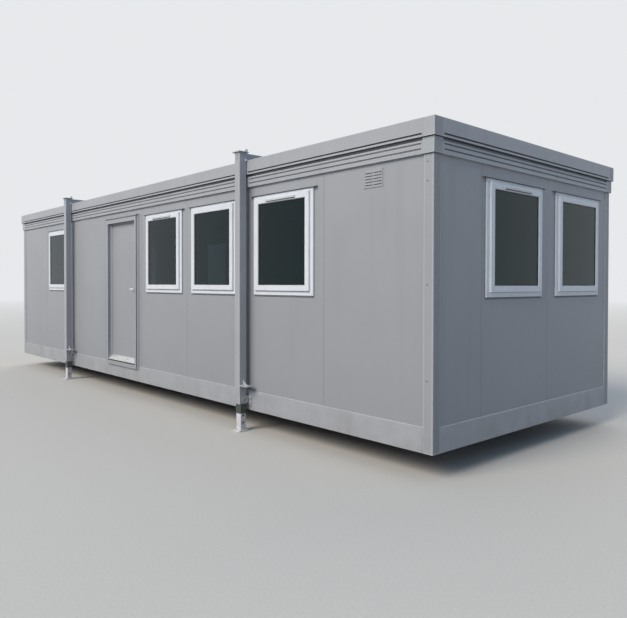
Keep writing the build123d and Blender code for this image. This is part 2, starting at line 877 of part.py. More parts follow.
# Collars under the outer legs guide the inner ones and carry the pins
collar_bore_width = inner_leg_width + 2 * collar_clearance
collar_bore_depth = inner_leg_depth + 2 * collar_clearance
collar_width = collar_bore_width + 2 * collar_wall
with BuildPart() as leg_collars:
    with BuildSketch(Plane.XY.offset(base + leg_bottom)):
        with Locations(INNER_PLACES):
            RectangleRounded(collar_width, collar_bore_depth + 2 * collar_wall, collar_radius)
            Rectangle(collar_bore_width, collar_bore_depth, mode=Mode.SUBTRACT)
    extrude(amount=collar_height)
    pin_holes(collar_width, [pin_z])
write(leg_collars, "leg_collars")

with BuildPart() as leg_pins:
    pin_half = collar_width / 2 + pin_overhang
    for x, y in INNER_PLACES:
        with BuildSketch(Plane.YZ.offset(x - pin_half)):
            with Locations((y, pin_z)):
                Circle(pin_radius)
        extrude(amount=2 * pin_half)
write(leg_pins, "leg_pins")

# Roof beams: box beams over the roof between opposite legs
beam_half = leg_y - leg_size / 2
with BuildPart() as roof_beams:
    for x in (-leg_station, leg_station):
        with BuildSketch(Plane.XZ.offset(-beam_half)):
            with Locations((x, base + body_height + beam_lift + beam_height / 2)):
                Rectangle(beam_width, beam_height)
                Rectangle(beam_width - 2 * leg_wall, beam_height - 2 * leg_wall, mode=Mode.SUBTRACT)
        extrude(amount=2 * beam_half)
write(roof_beams, "roof_beams")

# Jack brackets: a shelf with a hollowed gusset on the leg's +X face, where a jack lifts
gusset_foot = base + shelf_height + shelf_thickness
with BuildPart() as jack_brackets:
    for x, y in LEG_PLACES:
        root = x + leg_size / 2
        tip = root + shelf_length
        with BuildSketch(Plane.XY.offset(base + shelf_height)):
            with BuildLine():
                Polyline(
                    (root, y - leg_size / 2),
                    (tip - shelf_corner, y - leg_size / 2),
                    (tip, y - leg_size / 2 + shelf_corner),
                    (tip, y + leg_size / 2 - shelf_corner),
                    (tip - shelf_corner, y + leg_size / 2),
                    (root, y + leg_size / 2),
                    close=True,
                )
            make_face()
        extrude(amount=shelf_thickness)
        with BuildSketch(Plane.XZ.offset(-y - gusset_thickness / 2)):
            with BuildLine():
                gusset_tip = root + gusset_reach
                lower_nose = (gusset_tip, gusset_foot + gusset_nose)
                upper_nose = (root + gusset_nose, gusset_foot + gusset_height)
                Polyline(
                    upper_nose, (root, gusset_foot + gusset_height), (root, gusset_foot),
                    (gusset_tip, gusset_foot), lower_nose,
                )
                SagittaArc(lower_nose, upper_nose, gusset_hollow)
            make_face()
        extrude(amount=gusset_thickness)
write(jack_brackets, "jack_brackets")

# Cleats: angles on both sides of each leg, bolted to the chassis rail
cleat_web_low = leg_foot + cleat_collar_gap
with BuildPart() as leg_cleats:
    for x, y in LEG_PLACES:
        sign = outward(y)
        for direction in (-1, 1):
            leg_side = x + direction * leg_size / 2
            low_x, high_x = sorted((leg_side, leg_side + direction * cleat_width))
            low_y, high_y = sorted((sign * half_width, sign * (half_width + cleat_thickness)))
            block(
                Plane.XY.offset(base + cleat_low), low_x, high_x, low_y, high_y, cleat_high - cleat_low,
            )
            low_x, high_x = sorted((leg_side, leg_side + direction * cleat_thickness))
            low_y, high_y = sorted((sign * half_width, sign * (leg_y + leg_size / 2)))
            block(
                Plane.XY.offset(base + cleat_web_low), low_x, high_x, low_y, high_y,
                cleat_high - cleat_web_low,
            )
write(leg_cleats, "leg_cleats")
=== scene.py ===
import math
import random

import bmesh
import bpy
from mathutils import Matrix, Vector


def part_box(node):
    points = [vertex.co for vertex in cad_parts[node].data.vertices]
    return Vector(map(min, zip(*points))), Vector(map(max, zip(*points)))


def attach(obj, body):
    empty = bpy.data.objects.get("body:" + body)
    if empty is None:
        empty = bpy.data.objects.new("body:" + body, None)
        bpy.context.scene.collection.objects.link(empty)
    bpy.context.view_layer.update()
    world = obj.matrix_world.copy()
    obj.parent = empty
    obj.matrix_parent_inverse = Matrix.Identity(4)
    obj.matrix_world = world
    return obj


# Looks of the portable site cabin. Metres, in the frame of the CAD model: +X runs along the cabin,
# the wall with the door faces -Y and the ground is at height 0.
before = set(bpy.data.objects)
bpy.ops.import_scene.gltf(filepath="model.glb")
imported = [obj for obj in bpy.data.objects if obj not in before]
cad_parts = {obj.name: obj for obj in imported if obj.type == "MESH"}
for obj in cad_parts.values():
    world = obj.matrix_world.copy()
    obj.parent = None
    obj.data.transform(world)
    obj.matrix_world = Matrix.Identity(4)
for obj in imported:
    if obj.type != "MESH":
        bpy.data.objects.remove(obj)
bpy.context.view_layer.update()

SEED = 7
draw = random.Random(SEED)

# Camera, solved from the photograph's edges
CAMERA_PLACE = Vector((7.998, -5.481, 1.560))
CAMERA_YAW = math.radians(136.972)
CAMERA_PITCH = math.radians(-0.794)
CAMERA_ROLL = math.radians(0.120)
IMAGE_WIDTH = 627
FOCAL_PIXELS = 625.57
SENSOR_WIDTH = 36.0
CENTRE_RIGHT_PIXELS = 19.80
CENTRE_UP_PIXELS = 15.95
FARTHEST_SEEN = 1000

# Light
SKY_LIGHT = (0.236, 0.330, 0.455, 1.0)
SKY_SEEN = (0.80, 0.815, 0.835, 1.0)

# Lamps as (strength, colour, softness, side, height), the last three in degrees
LAMPS = {
    "sun": (2.76, (1.0, 0.885, 0.745), 34, 0, 38),
    "fill": (1.0, (1.0, 0.90, 0.77), 60, 145, 36),
}

# Sides and turns
UP = Vector((0, 0, 1))
OUTWARD = {
    "front": Vector((0, -1, 0)),
    "back": Vector((0, 1, 0)),
    "right": Vector((1, 0, 0)),
    "left": Vector((-1, 0, 0)),
}
LONG_SIDES = ("front", "back")
CORNERS = ((-1, -1), (1, -1), (1, 1), (-1, 1))
UPRIGHT = Matrix.Rotation(math.pi / 2, 4, "Z")
INWARD = Matrix.Rotation(math.pi, 4, "Y")
UPSIDE_DOWN = Matrix.Rotation(math.pi, 4, "X")
MIRRORED = Matrix.Scale(-1, 4, (0, 0, 1))

# Points nearer than WELD count as one. TUCK is how far a small part goes into a face or stays behind it
WELD = 1e-5
TUCK = 0.001


def srgb(*channels):
    """A colour as a screen shows it, 0 to 255 and not close to black, as a linear colour."""
    return tuple(((channel / 255 + 0.055) / 1.055) ** 2.4 for channel in channels) + (1.0,)


def scaled(colour, factor):
    return tuple(min(1.0, channel * factor) for channel in colour[:3]) + (1.0,)


BODY_GREY = srgb(162, 167, 175)
PALE_STEEL = scaled(BODY_GREY, 1.13)
LINING_WHITE = srgb(214, 214, 210)
RUST = srgb(104, 66, 42)
DIRT = srgb(118, 112, 102)
# Painted shade for faces that look down
UNDERSIDE_SHADE = srgb(46, 50, 54)
ROAD_SPLASH = srgb(126, 121, 112)
LICHEN = srgb(96, 100, 82)
# Dark tint of the glass, painted shade of the dim room behind the windows
GLASS_TINT = (0.10, 0.135, 0.15, 1.0)
GLASS_GLEAM = (0.52, 0.94, 1.0, 1.0)
FLOOR_DARK = srgb(196, 196, 194)
FLOOR_LIGHT = srgb(204, 204, 202)
FLOOR_BOUNCE = srgb(150, 147, 142)

# Looks: heights on the wall, widths of edges and boards, and settings of the nodes
FADE_TOP, FADE_FOOT = 2.6, 0.3
SPLASH_TOP, SPLASH_FOOT = 0.62, 0.20
# Painted leg shadow: its outer edge and its full-strength core, as distances from the leg's middle
LEG_SHADE_EDGE, LEG_SHADE_CORE = 0.15, 0.05
# Width of the painted highlight along sharp edges
EDGE_HIGHLIGHT_WIDTH = 0.016
CHIP_WIDTH = 0.005
FLOOR_BOARD_WIDTH = 1.22
CEILING_BOARD_WIDTH = 1.2
NOISE_ROUGHNESS = 0.55
BEVEL_SAMPLES = 4
GLASS_IOR = 1.33


# Material building

class Shader:
    """The nodes of a material or of the world, built with short calls. Patterns lie in the object's own
    coordinates. The tone is the surface's colour so far."""

    def __init__(self, name, owner=None):
        self.owner = owner or bpy.data.materials.new(name)
        self.owner.use_nodes = True
        self.nodes = self.owner.node_tree.nodes
        self.surface = self.nodes.get("Principled BSDF")
        self.place = self.node("TexCoord", output="Object")
        self.tone = None

    def join(self, source, target):
        """Links an output to a socket, or sets the socket when the source is a plain value."""
        if isinstance(source, bpy.types.NodeSocket):
            self.owner.node_tree.links.new(source, target)
        else:
            target.default_value = source

    def node(self, kind, inputs=None, output=0, **settings):
        """Adds a node with its settings and inputs, and gives one of its outputs."""
        made = self.nodes.new("ShaderNode" + kind)
        for name, value in settings.items():
            setattr(made, name, value)
        for socket, source in (inputs or {}).items():
            self.join(source, made.inputs[socket])
        return made.outputs[output]

    def math(self, operation, first, second=0.0):
        return self.node("Math", {0: first, 1: second}, operation=operation)

    def axis(self, name):
        """One coordinate of the object's own frame."""
        return self.node("SeparateXYZ", {0: self.place}, name)

    def from_middle(self, name):
        """The distance from the cabin's middle along one axis."""
        return self.math("ABSOLUTE", self.axis(name))

    def looks_along(self, name):
        """How squarely the surface looks along one axis of the model, from -1 to 1."""
        return self.node("SeparateXYZ", {0: self.node("NewGeometry", output="Normal")}, name)

    def noise(self, scale, detail=3, stretch=(1, 1, 1), shift=0):
        """Noise with about that many lumps to the metre; stretch multiplies it along each axis."""
        moved = self.node("Mapping", {"Vector": self.place, "Location": [shift] * 3, "Scale": stretch})
        return self.node("TexNoise", {
            "Vector": moved, "Scale": scale, "Detail": detail, "Roughness": NOISE_ROUGHNESS,
        }, "Fac")

    def spread(self, value, low, high, start=0.0, stop=1.0):
        """Maps the range from low to high on to the one from start to stop, and cuts off outside it."""
        return self.node("MapRange", {
            "Value": value, "From Min": low, "From Max": high, "To Min": start, "To Max": stop,
        })

    def patches(self, low, high, start=0.0, stop=1.0, **pattern):
        """Noise as patches, with soft borders where it lies between low and high."""
        return self.spread(self.noise(**pattern), low, high, start, stop)

    def board_joints(self, width, share):
        """1 on the joints between boards of that width along X, where each takes that share."""
        along = self.math("FRACT", self.math("DIVIDE", self.axis("X"), width))
        return self.math(
            "GREATER_THAN", self.math("ABSOLUTE", self.math("SUBTRACT", along, 0.5)), (1 - share) / 2,
        )

    def blend(self, factor, first, second):
        """Mixes two colours."""
        return self.node("Mix", {0: factor, 6: first, 7: second}, 2, data_type="RGBA")

    def vary(self, factor, colour, dark, light):
        """Starts the tone, between a darker and a lighter shade of a colour."""
        self.tone = self.blend(factor, scaled(colour, dark), scaled(colour, light))

    def coat(self, factor, colour):
        """Lays a colour over the tone, as far as the factor says."""
        self.tone = self.blend(factor, self.tone, colour)

    def rounded(self, radius):
        """The normal that the surface has once its edges are rounded."""
        return self.node("Bevel", {"Radius": radius}, samples=BEVEL_SAMPLES)

    def edges(self, radius):
        """1 near a sharp edge of the mesh, 0 on its flats."""
        normal = self.node("NewGeometry", output="Normal")
        flatness = self.node(
            "VectorMath", {0: self.rounded(radius), 1: normal}, "Value", operation="DOT_PRODUCT",
        )
        return self.spread(flatness, 0.999, 0.86)

    def bump(self, heights, soft_edge=0.0):
        """Adds (height, depth in metres) pairs to the surface's normal, and rounds its edges."""
        normal = self.rounded(soft_edge) if soft_edge else None
        for height, depth in heights:
            inputs = {"Strength": 1.0, "Distance": depth, "Height": height}
            if normal is not None:
                inputs["Normal"] = normal
            normal = self.node("Bump", inputs)
        self.join(normal, self.surface.inputs["Normal"])

    def directly_seen(self):
        """1 for what shows in the picture, in gloss or through glass, 0 for light on its way."""
        path = self.nodes.new("ShaderNodeLightPath").outputs
        seen = self.math("MAXIMUM", path["Is Camera Ray"], path["Is Glossy Ray"])
        return self.math("MAXIMUM", seen, path["Is Transmission Ray"])

    def finish(self, roughness, others=None):
        """Gives the surface its tone, its roughness and other inputs."""
        for name, value in {"Base Color": self.tone, "Roughness": roughness, **(others or {})}.items():
            self.join(value, self.surface.inputs[name])
        return self.owner


def coated_steel(
    name, colour, splash=0.0, streaks=0.8, soft_edge=0.0, fade=0.35, rim=0.0, under=0.0, ends=0.0,
    leg_shade=0.0, lining=None, faded=None,
):
    """Factory-painted sheet: faint waves and mottling, rain streaks, and road splash near the ground.
    Fade darkens it downward as painted shade with a little dust film, the rim paints a highlight on sharp
    edges, under and ends paint shade on what faces down or along the cabin, and the leg shade paints the
    legs' shadow on the wall. The lining is the colour on the room's side, and faded the one of the lower
    part of a corner cap."""
    sheet = Shader(name)
    mottle = sheet.noise(22, detail=5, shift=3)
    rain = sheet.noise(9, detail=4, stretch=(1, 1, 0.06), shift=8)
    height = sheet.axis("Z")
    sheet.vary(sheet.patches(0.3, 0.7, scale=1.7, detail=4), colour, 0.955, 1.035)
    sheet.coat(sheet.spread(mottle, 0.52, 0.8, 0, 0.10), scaled(colour, 0.86))
    sheet.coat(sheet.spread(rain, 0.54, 0.78, 0, 0.22 * streaks), DIRT)
    # Darker towards the bottom: painted shade of the lower walls, with a little dust film
    sheet.coat(sheet.spread(height, FADE_TOP, FADE_FOOT, 0, fade), scaled(colour, 0.80))
    low = sheet.spread(height, SPLASH_TOP, SPLASH_FOOT)
    low = sheet.math("MULTIPLY", low, sheet.patches(0.36, 0.72, scale=6, detail=6, shift=5))
    sheet.coat(sheet.math("MULTIPLY", low, 0.42 * splash), ROAD_SPLASH)
    # Painted shadow on the wall behind and beside each leg
    if leg_shade:
        away = sheet.math("ABSOLUTE", sheet.math("SUBTRACT", sheet.from_middle("X"), leg_place))
        leg_shade_mask = sheet.spread(away, LEG_SHADE_EDGE, LEG_SHADE_CORE, 0, leg_shade)
        sheet.coat(leg_shade_mask, scaled(colour, 0.35))
    if lining:
        within = sheet.math("LESS_THAN", sheet.from_middle("X"), lining_x)
        across = sheet.math("LESS_THAN", sheet.from_middle("Y"), lining_y)
        sheet.coat(sheet.math("MULTIPLY", within, across), lining)
    if faded:
        sheet.coat(sheet.math("LESS_THAN", height, faded_top), faded)
    # Painted shade: faces that look along the cabin, toward its ends, are darkened
    if ends:
        end_shade_mask = sheet.math("ABSOLUTE", sheet.looks_along("X"))
        sheet.coat(sheet.spread(end_shade_mask, 0.6, 0.9, 0, ends), scaled(colour, 0.6))
    # Painted highlight: sharp edges are lightened as if they caught the light
    if rim:
        sheet.coat(sheet.math("MULTIPLY", sheet.edges(EDGE_HIGHLIGHT_WIDTH), rim), scaled(colour, 1.45))
    # Painted shade: faces that look down are darkened toward a near-black grey
    if under:
        sheet.coat(sheet.spread(sheet.looks_along("Z"), -0.6, -0.9, 0, under), UNDERSIDE_SHADE)
    waves = sheet.noise(1.1, detail=1, shift=2)
    orange_peel = sheet.noise(420, detail=1)
    sheet.bump(((waves, 0.0035), (orange_peel, 0.00006)), soft_edge)
    return sheet.finish(sheet.spread(mottle, 0.3, 0.75, 0.36, 0.50))


def worn_steel(name, colour, chips, dust=0.3):
    """Brush-painted heavy steel with chipped edges, rust freckles and dust."""
    steel = Shader(name)
    steel.vary(steel.patches(0.3, 0.7, scale=14, detail=5), colour, 0.90, 1.07)
    steel.coat(steel.patches(0.45, 0.75, 0, dust, scale=5, detail=6, shift=4), DIRT)
    flakes = steel.patches(0.50, 0.60, scale=60, detail=5, shift=6)
    chipped = steel.math("MULTIPLY", steel.edges(CHIP_WIDTH), flakes)
    freckles = steel.patches(0.70, 0.76, scale=90, detail=4, shift=1)
    bare = steel.math("MULTIPLY", steel.math("MAXIMUM", chipped, freckles), chips)
    steel.coat(bare, RUST)
    steel.bump(((steel.noise(130), 0.00025), (bare, -0.0003)), soft_edge=0.0015)
    return steel.finish(steel.spread(bare, 0, 1, 0.45, 0.85))


def plain_metal(name, colour, roughness, brushed=(1, 1, 1), stain=0.2):
    """Bare or plated metal with fine brushing along one axis and dull stains."""
    metal = Shader(name)
    hair = metal.noise(700, detail=2, stretch=brushed)
    dull = metal.noise(30, detail=5, shift=2)
    metal.vary(metal.spread(hair, 0.3, 0.7), colour, 0.90, 1.06)
    metal.coat(metal.spread(dull, 0.5, 0.75, 0, stain), scaled(colour, 0.45))
    metal.bump(((hair, 0.00004), (dull, 0.00015)), soft_edge=0.0008)
    return metal.finish(metal.spread(dull, 0.3, 0.7, roughness, roughness + 0.2), {"Metallic": 1.0})


def moulded_plastic(name, colour, grime):
    """Extruded window plastic: smooth, with a little grime and dust."""
    plastic = Shader(name)
    film = plastic.noise(7, detail=6)
    plastic.vary(plastic.spread(film, 0.35, 0.7), colour, 1.02, 0.955)
    plastic.coat(plastic.patches(0.58, 0.8, 0, grime, scale=40, stretch=(1, 1, 0.08), shift=5), DIRT)
    plastic.bump(((plastic.noise(260, detail=2), 0.00005),), soft_edge=0.0012)
    return plastic.finish(plastic.spread(film, 0.3, 0.7, 0.24, 0.42))


def rubber(name, colour):
    """Dull rubber or sealant, a little uneven."""
    seal = Shader(name)
    seal.vary(seal.noise(90, detail=4), colour, 0.8, 1.5)
    seal.bump(((seal.noise(500, detail=2), 0.00005),))
    return seal.finish(0.62)


def clear_glass(name):
    """The sealed unit, tinted dark as painted shade of the dim room behind it, with a slight film of dust."""
    glass = Shader(name)
    glass.tone = GLASS_TINT
    glass.bump(((glass.noise(1.6, detail=1, shift=4), 0.0012),))
    dust = glass.patches(0.35, 0.75, 0.0, 0.035, scale=4, detail=7)
    return glass.finish(dust, {"Transmission Weight": 1.0, "IOR": GLASS_IOR, "Specular Tint": GLASS_GLEAM})


def plywood(name, light, dark):
    """Sealed sheet flooring with long grain and a joint every board width."""
    wood = Shader(name)
    grain = wood.noise(16, detail=6, stretch=(0.12, 2.2, 1))
    wood.tone = wood.blend(wood.spread(grain, 0.3, 0.7), dark, light)
    joint = wood.board_joints(FLOOR_BOARD_WIDTH, 0.004)
    wood.coat(joint, scaled(dark, 0.4))
    wood.bump(((grain, 0.0003), (joint, -0.0012)))
    return wood.finish(wood.spread(grain, 0.3, 0.7, 0.42, 0.6))


def lined_board(name, colour):
    """White faced ceiling board with a fine joint every board width."""
    sheet = Shader(name)
    joint = sheet.board_joints(CEILING_BOARD_WIDTH, 0.005)
    sheet.vary(sheet.noise(3, detail=5), colour, 0.96, 1.0)
    sheet.coat(joint, scaled(colour, 0.5))
    sheet.bump(((sheet.noise(240), 0.0002), (joint, -0.001)))
    return sheet.finish(0.6)


def weathered_roof(name, colour):
    """Coated roof sheet with ponding stains between the ribs and a scatter of lichen."""
    sheet = Shader(name)
    pond = sheet.noise(2.2, detail=7, stretch=(1.0, 0.35, 1))
    sheet.tone = colour
    sheet.coat(sheet.spread(pond, 0.35, 0.68, 0, 0.62), scaled(DIRT, 0.8))
    sheet.coat(sheet.patches(0.68, 0.74, 0, 0.5, scale=26, detail=4, shift=9), LICHEN)
    sheet.bump(((sheet.noise(150), 0.0002),), soft_edge=0.002)
    return sheet.finish(sheet.spread(pond, 0.3, 0.7, 0.45, 0.8))


# Mesh building
SHARP_ANGLE = math.radians(35)


def add_object(name, data):
    """Puts a mesh, a lamp or a camera into the scene."""
    made = bpy.data.objects.new(name, data)
    bpy.context.scene.collection.objects.link(made)
    return made


class Form:
    """Gathers simple solids into one mesh. Each shape takes a matrix that puts its local axes in place."""

    def __init__(self):
        self.mesh = bmesh.new()

    def skin(self, matrix, rings, closed=False):
        """Joins each ring of points to the next with faces, and the last to the first if closed."""
        made = [[self.mesh.verts.new(matrix @ Vector(point)) for point in ring] for ring in rings]
        for here, there in zip(made, made[1:] + (made[:1] if closed else [])):
            for n in range(max(len(here), len(there))):
                steps = ((here, n), (here, n + 1), (there, n + 1), (there, n))
                corners = dict.fromkeys(ring[step % len(ring)] for ring, step in steps)
                self.mesh.faces.new(list(corners))
        return made

    def run(self, matrix, length, section):
        """A straight strip along local X, centred, with a closed section of (Y, Z) points."""
        ends = [[(end * length / 2, y, z) for y, z in section] for end in (-1, 1)]
        for ring in self.skin(matrix, ends):
            self.mesh.faces.new(ring)

    def block(self, matrix, low, high):
        """A plain block between two local corners."""
        moved = matrix @ Matrix.Translation(((low[0] + high[0]) / 2, 0, 0))
        self.run(moved, high[0] - low[0], oblong(low[1], high[1], low[2], high[2]))

    def loop(self, matrix, width, height, section):
        """A mitred ring round a local rectangle; section points are (out from its edge, Z)."""
        self.skin(matrix, [
            [(x * (width / 2 + out), y * (height / 2 + out), z) for out, z in section] for x, y in CORNERS
        ], closed=True)

    def turned(self, matrix, profile, sides):
        """A turned form about local Z, from (radius, height) points; a radius of 0 closes an end."""
        angles = [2 * math.pi * n / sides for n in range(sides)]
        turns = [(math.cos(angle), math.sin(angle)) for angle in angles]
        self.skin(matrix, [
            [(radius * x, radius * y, height) for x, y in (turns if radius else turns[:1])]
            for radius, height in profile
        ])

    def finish(self, name, material, slot, body="cabin", bevel=0.0):
        """Makes the object, gives it its material and lets it ride on its body."""
        bmesh.ops.recalc_face_normals(self.mesh, faces=self.mesh.faces)
        data = bpy.data.meshes.new(name)
        self.mesh.to_mesh(data)
        self.mesh.free()
        data.shade_smooth()
        data.set_sharp_from_angle(angle=SHARP_ANGLE)
        data.materials.append(material)
        piece = add_object(name, data)
        if bevel:
            rounded = piece.modifiers.new("rounded", "BEVEL")
            rounded.width = bevel
            rounded.segments = 2
            rounded.limit_method = "ANGLE"
        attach(piece, body)


def solids(node):
    """The box of each separate solid in a CAD node, as (lowest corner, highest corner)."""
    mesh = bmesh.new()
    mesh.from_mesh(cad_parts[node].data)
    bmesh.ops.remove_doubles(mesh, verts=mesh.verts, dist=WELD)
    left = set(mesh.verts)
    boxes = []
    while left:
        border = {left.pop()}
        group = set(border)
        while border:
            border = left & {vert for one in border for edge in one.link_edges for vert in edge.verts}
            left -= border
            group |= border
        axes = list(zip(*(vert.co for vert in group)))
        boxes.append((Vector(min(axis) for axis in axes), Vector(max(axis) for axis in axes)))
    mesh.free()
    return sorted(boxes, key=lambda box: tuple(round(value, 3) for value in box[0]))


def middle(box):
    return (box[0] + box[1]) / 2


def facing(side, point):
    """Local axes at a point of a wall: X to the right as seen from outside, Y up and Z outward."""
    outward = OUTWARD[side]
    matrix = Matrix((UP.cross(outward), UP, outward)).transposed().to_4x4()
    matrix.translation = point
    return matrix


def at(side, out, along=0.0, height=0.0):
    """The same axes at a distance out from the cabin's middle, another to the right, and a height."""
    outward = OUTWARD[side]
    return facing(side, outward * out + UP.cross(outward) * along + UP * height)


def on_wall(box):
    """A box on a wall as (side, point in the middle of its outer face, width, height, depth)."""
    centre, size = middle(box), box[1] - box[0]
    side = min(OUTWARD, key=lambda name: wall_face[name] - centre.dot(OUTWARD[name]))
    outward = OUTWARD[side]
    depth = abs(size.dot(outward))
    return side, centre + outward * depth / 2, abs(size.dot(UP.cross(outward))), size.z, depth


def half_round(width, height):
    """A low rounded section, flat below, as (Y, Z) points."""
    angles = [math.pi * n / 4 for n in range(5)]
    return [(-width / 2 * math.cos(angle), height * math.sin(angle)) for angle in angles]


def oblong(start, stop, low, high):
    """A rectangular section from start to stop in Y and from low to high in Z."""
    return [(start, low), (stop, low), (stop, high), (start, high)]


def corner_bead(size, hollow_y, hollow_z):
    """The section of a bead in a corner, whose hollow face passes through those shares of its size."""
    return [(-TUCK, 0), (size, 0), (size * hollow_y, size * hollow_z), (-TUCK, size)]


def spaced(count, pitch):
    """So many places, a pitch apart and centred on 0."""
    return [(n - (count - 1) / 2) * pitch for n in range(count)]


def between(start, stop, count):
    """So many places, evenly spread from start to stop."""
    return [start + (stop - start) * n / (count - 1) for n in range(count)]


def hex_bolt(form, matrix, size, washer=1.9):
    """A washer and a hexagon head, standing on local Z 0; size is the head's radius."""
    plate = ((0, 0), (washer, 0), (washer, 0.2), (washer * 0.96, 0.25), (0, 0.25))
    head = ((0, 0.25), (1, 0.25), (1, 0.93), (0.88, 1.05), (0, 1.05))
    for steps, sides in ((plate, 24), (head, 6)):
        form.turned(matrix, [(size * out, size * up) for out, up in steps], sides)


def dome_head(form, matrix, size):
    """A low rivet or screw head on local Z 0, from its radius and height."""
    steps = ((1, 0), (1, 0.3), (0.8, 0.75), (0.4, 1), (0, 1))
    form.turned(matrix, [(size[0] * out, size[1] * up) for out, up in steps], 14)


def gaps_between(node, axis):
    """The places of the seams between a node's panels along an axis."""
    boxes = sorted(solids(node), key=lambda box: box[0][axis])
    return [(first[1][axis] + second[0][axis]) / 2 for first, second in zip(boxes[:-1], boxes[1:])]


# Places read from the frame
LINING_MARGIN = 0.01
CAP_STEP_MARGIN = 0.002
cabin_half_x, cabin_half_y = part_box("corner_posts")[1].xy
cabin_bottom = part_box("corner_posts")[0].z
first_post = solids("corner_posts")[0]
post_size = first_post[1].x - first_post[0].x
panel_face_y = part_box("back_wall_panels")[1].y
panel_back_y = -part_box("front_window_panels")[1].y
panel_face_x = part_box("right_end_panels")[1].x
panel_back_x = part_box("right_end_panels")[0].x
wall_face = {side: panel_face_y if side in LONG_SIDES else panel_face_x for side in OUTWARD}
wall_back = {side: panel_back_y if side in LONG_SIDES else panel_back_x for side in OUTWARD}
wall_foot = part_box("back_wall_panels")[0].z
ledge = cabin_half_y - panel_face_y
band_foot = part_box("fascia_lower_band")[0].z
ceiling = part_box("roof_deck")[0].z
floor_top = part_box("floor_deck")[1].z
lining_x = panel_back_x + LINING_MARGIN
lining_y = panel_back_y + LINING_MARGIN
faded_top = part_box("fascia_upper_band")[0].z - CAP_STEP_MARGIN
legs = solids("leg_tubes")
leg_half = (legs[0][1].x - legs[0][0].x) / 2
leg_place = abs(middle(legs[0]).x)
door_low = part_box("door_jamb_hinge_side")[0]
door_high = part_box("door_jamb_lock_side")[1]
long_seams = gaps_between("back_wall_panels", 0)
end_seams = gaps_between("right_end_panels", 1)


def extent(side):
    """A side's distance from the cabin's middle, and half of its length, over the posts."""
    return (cabin_half_y, cabin_half_x) if side in LONG_SIDES else (cabin_half_x, cabin_half_y)


# Materials
# In these paints rim sets a painted highlight on edges, and under, ends and the leg shade set painted shade
body_paint = coated_steel(
    "body_paint", scaled(BODY_GREY, 1.03), splash=0.35, streaks=0.5, rim=1.0, ends=0.6, fade=0.6,
)
vent_paint = coated_steel("vent_paint", scaled(BODY_GREY, 1.03), streaks=0.5)
# Drip paint, darker than the body and darker still below: painted shade of the drips
shaded_drip_paint = coated_steel("shaded_drip_paint", scaled(BODY_GREY, 0.85), under=1.0)
panel_paint = coated_steel(
    "panel_paint", BODY_GREY, splash=0.35, streaks=0.6, lining=LINING_WHITE, leg_shade=0.6, fade=0.75,
)
rail_paint = coated_steel("rail_paint", PALE_STEEL, splash=1.0, soft_edge=0.003)
fascia_paint = coated_steel("fascia_paint", PALE_STEEL, soft_edge=0.003, rim=0.4, under=0.9)
lower_fascia_paint = coated_steel("lower_fascia_paint", PALE_STEEL, soft_edge=0.003, rim=0.4)
cap_paint = coated_steel(
    "corner_cap_paint", PALE_STEEL, soft_edge=0.003, rim=1.0, under=0.9, ends=0.5,
    faded=srgb(169, 178, 182),
)
leg_paint = coated_steel(
    "leg_paint", scaled(BODY_GREY, 1.18), splash=0.6, streaks=1.2, soft_edge=0.004, rim=0.3, under=0.6,
    ends=0.25,
)
door_paint = coated_steel(
    "door_paint", scaled(srgb(158, 162, 170), 1.05), splash=0.3, streaks=0.2, soft_edge=0.002, fade=0.75,
)
frame_paint = coated_steel(
    "door_frame_paint", scaled(BODY_GREY, 1.04), splash=0.4, streaks=0.4, soft_edge=0.002, rim=0.3,
    under=1.0, fade=0.75,
)
seam_paint = coated_steel("seam_paint", srgb(151, 156, 163), splash=0.3, streaks=0.4, fade=0.75)
lining_paint = coated_steel("lining_paint", LINING_WHITE, streaks=0.1)
chassis_primer = worn_steel("chassis_primer", srgb(52, 54, 56), chips=0.7)
collar_paint = worn_steel("collar_paint", srgb(65, 75, 72), chips=0.35, dust=0.25)
inner_leg_paint = worn_steel("inner_leg_paint", srgb(217, 219, 225), chips=0.5, dust=0.35)
zinc = plain_metal("zinc", srgb(176, 178, 180), roughness=0.38)
bright_zinc = plain_metal("bright_zinc", srgb(196, 198, 200), roughness=0.3, stain=0.3)
aluminium = plain_metal("aluminium", srgb(226, 228, 230), roughness=0.34, brushed=(0.02, 1, 1), stain=0.75)
silver = plain_metal("silver", srgb(236, 238, 241), roughness=0.42, stain=0.05)
dull_silver = plain_metal("dull_silver", srgb(104, 107, 112), roughness=0.5, stain=0.4)
white_plastic = moulded_plastic("white_plastic", srgb(226, 233, 243), grime=0.15)
grey_plastic = moulded_plastic("grey_plastic", srgb(178, 182, 186), grime=0.3)
pale_plastic = moulded_plastic("pale_plastic", srgb(203, 207, 212), grime=0.3)
window_glass = clear_glass("window_glass")
black_rubber = rubber("black_rubber", srgb(26, 27, 28))
grey_rubber = rubber("grey_rubber", srgb(146, 149, 154))
# Painted shade: near-black strip in the floor of the deep upper fascia groove
groove_shade_dark = rubber("groove_shade_dark", srgb(44, 48, 52))
# Dark grey for the lower fascia grooves and the window beads, painted shade in both
sealant_and_shade_grey = rubber("sealant_and_shade_grey", srgb(108, 112, 117))
floor_board = plywood("floor_board", srgb(150, 128, 98), srgb(112, 90, 64))
roof_board = lined_board("roof_board", LINING_WHITE)
roof_steel = weathered_roof("roof_steel", srgb(150, 153, 155))

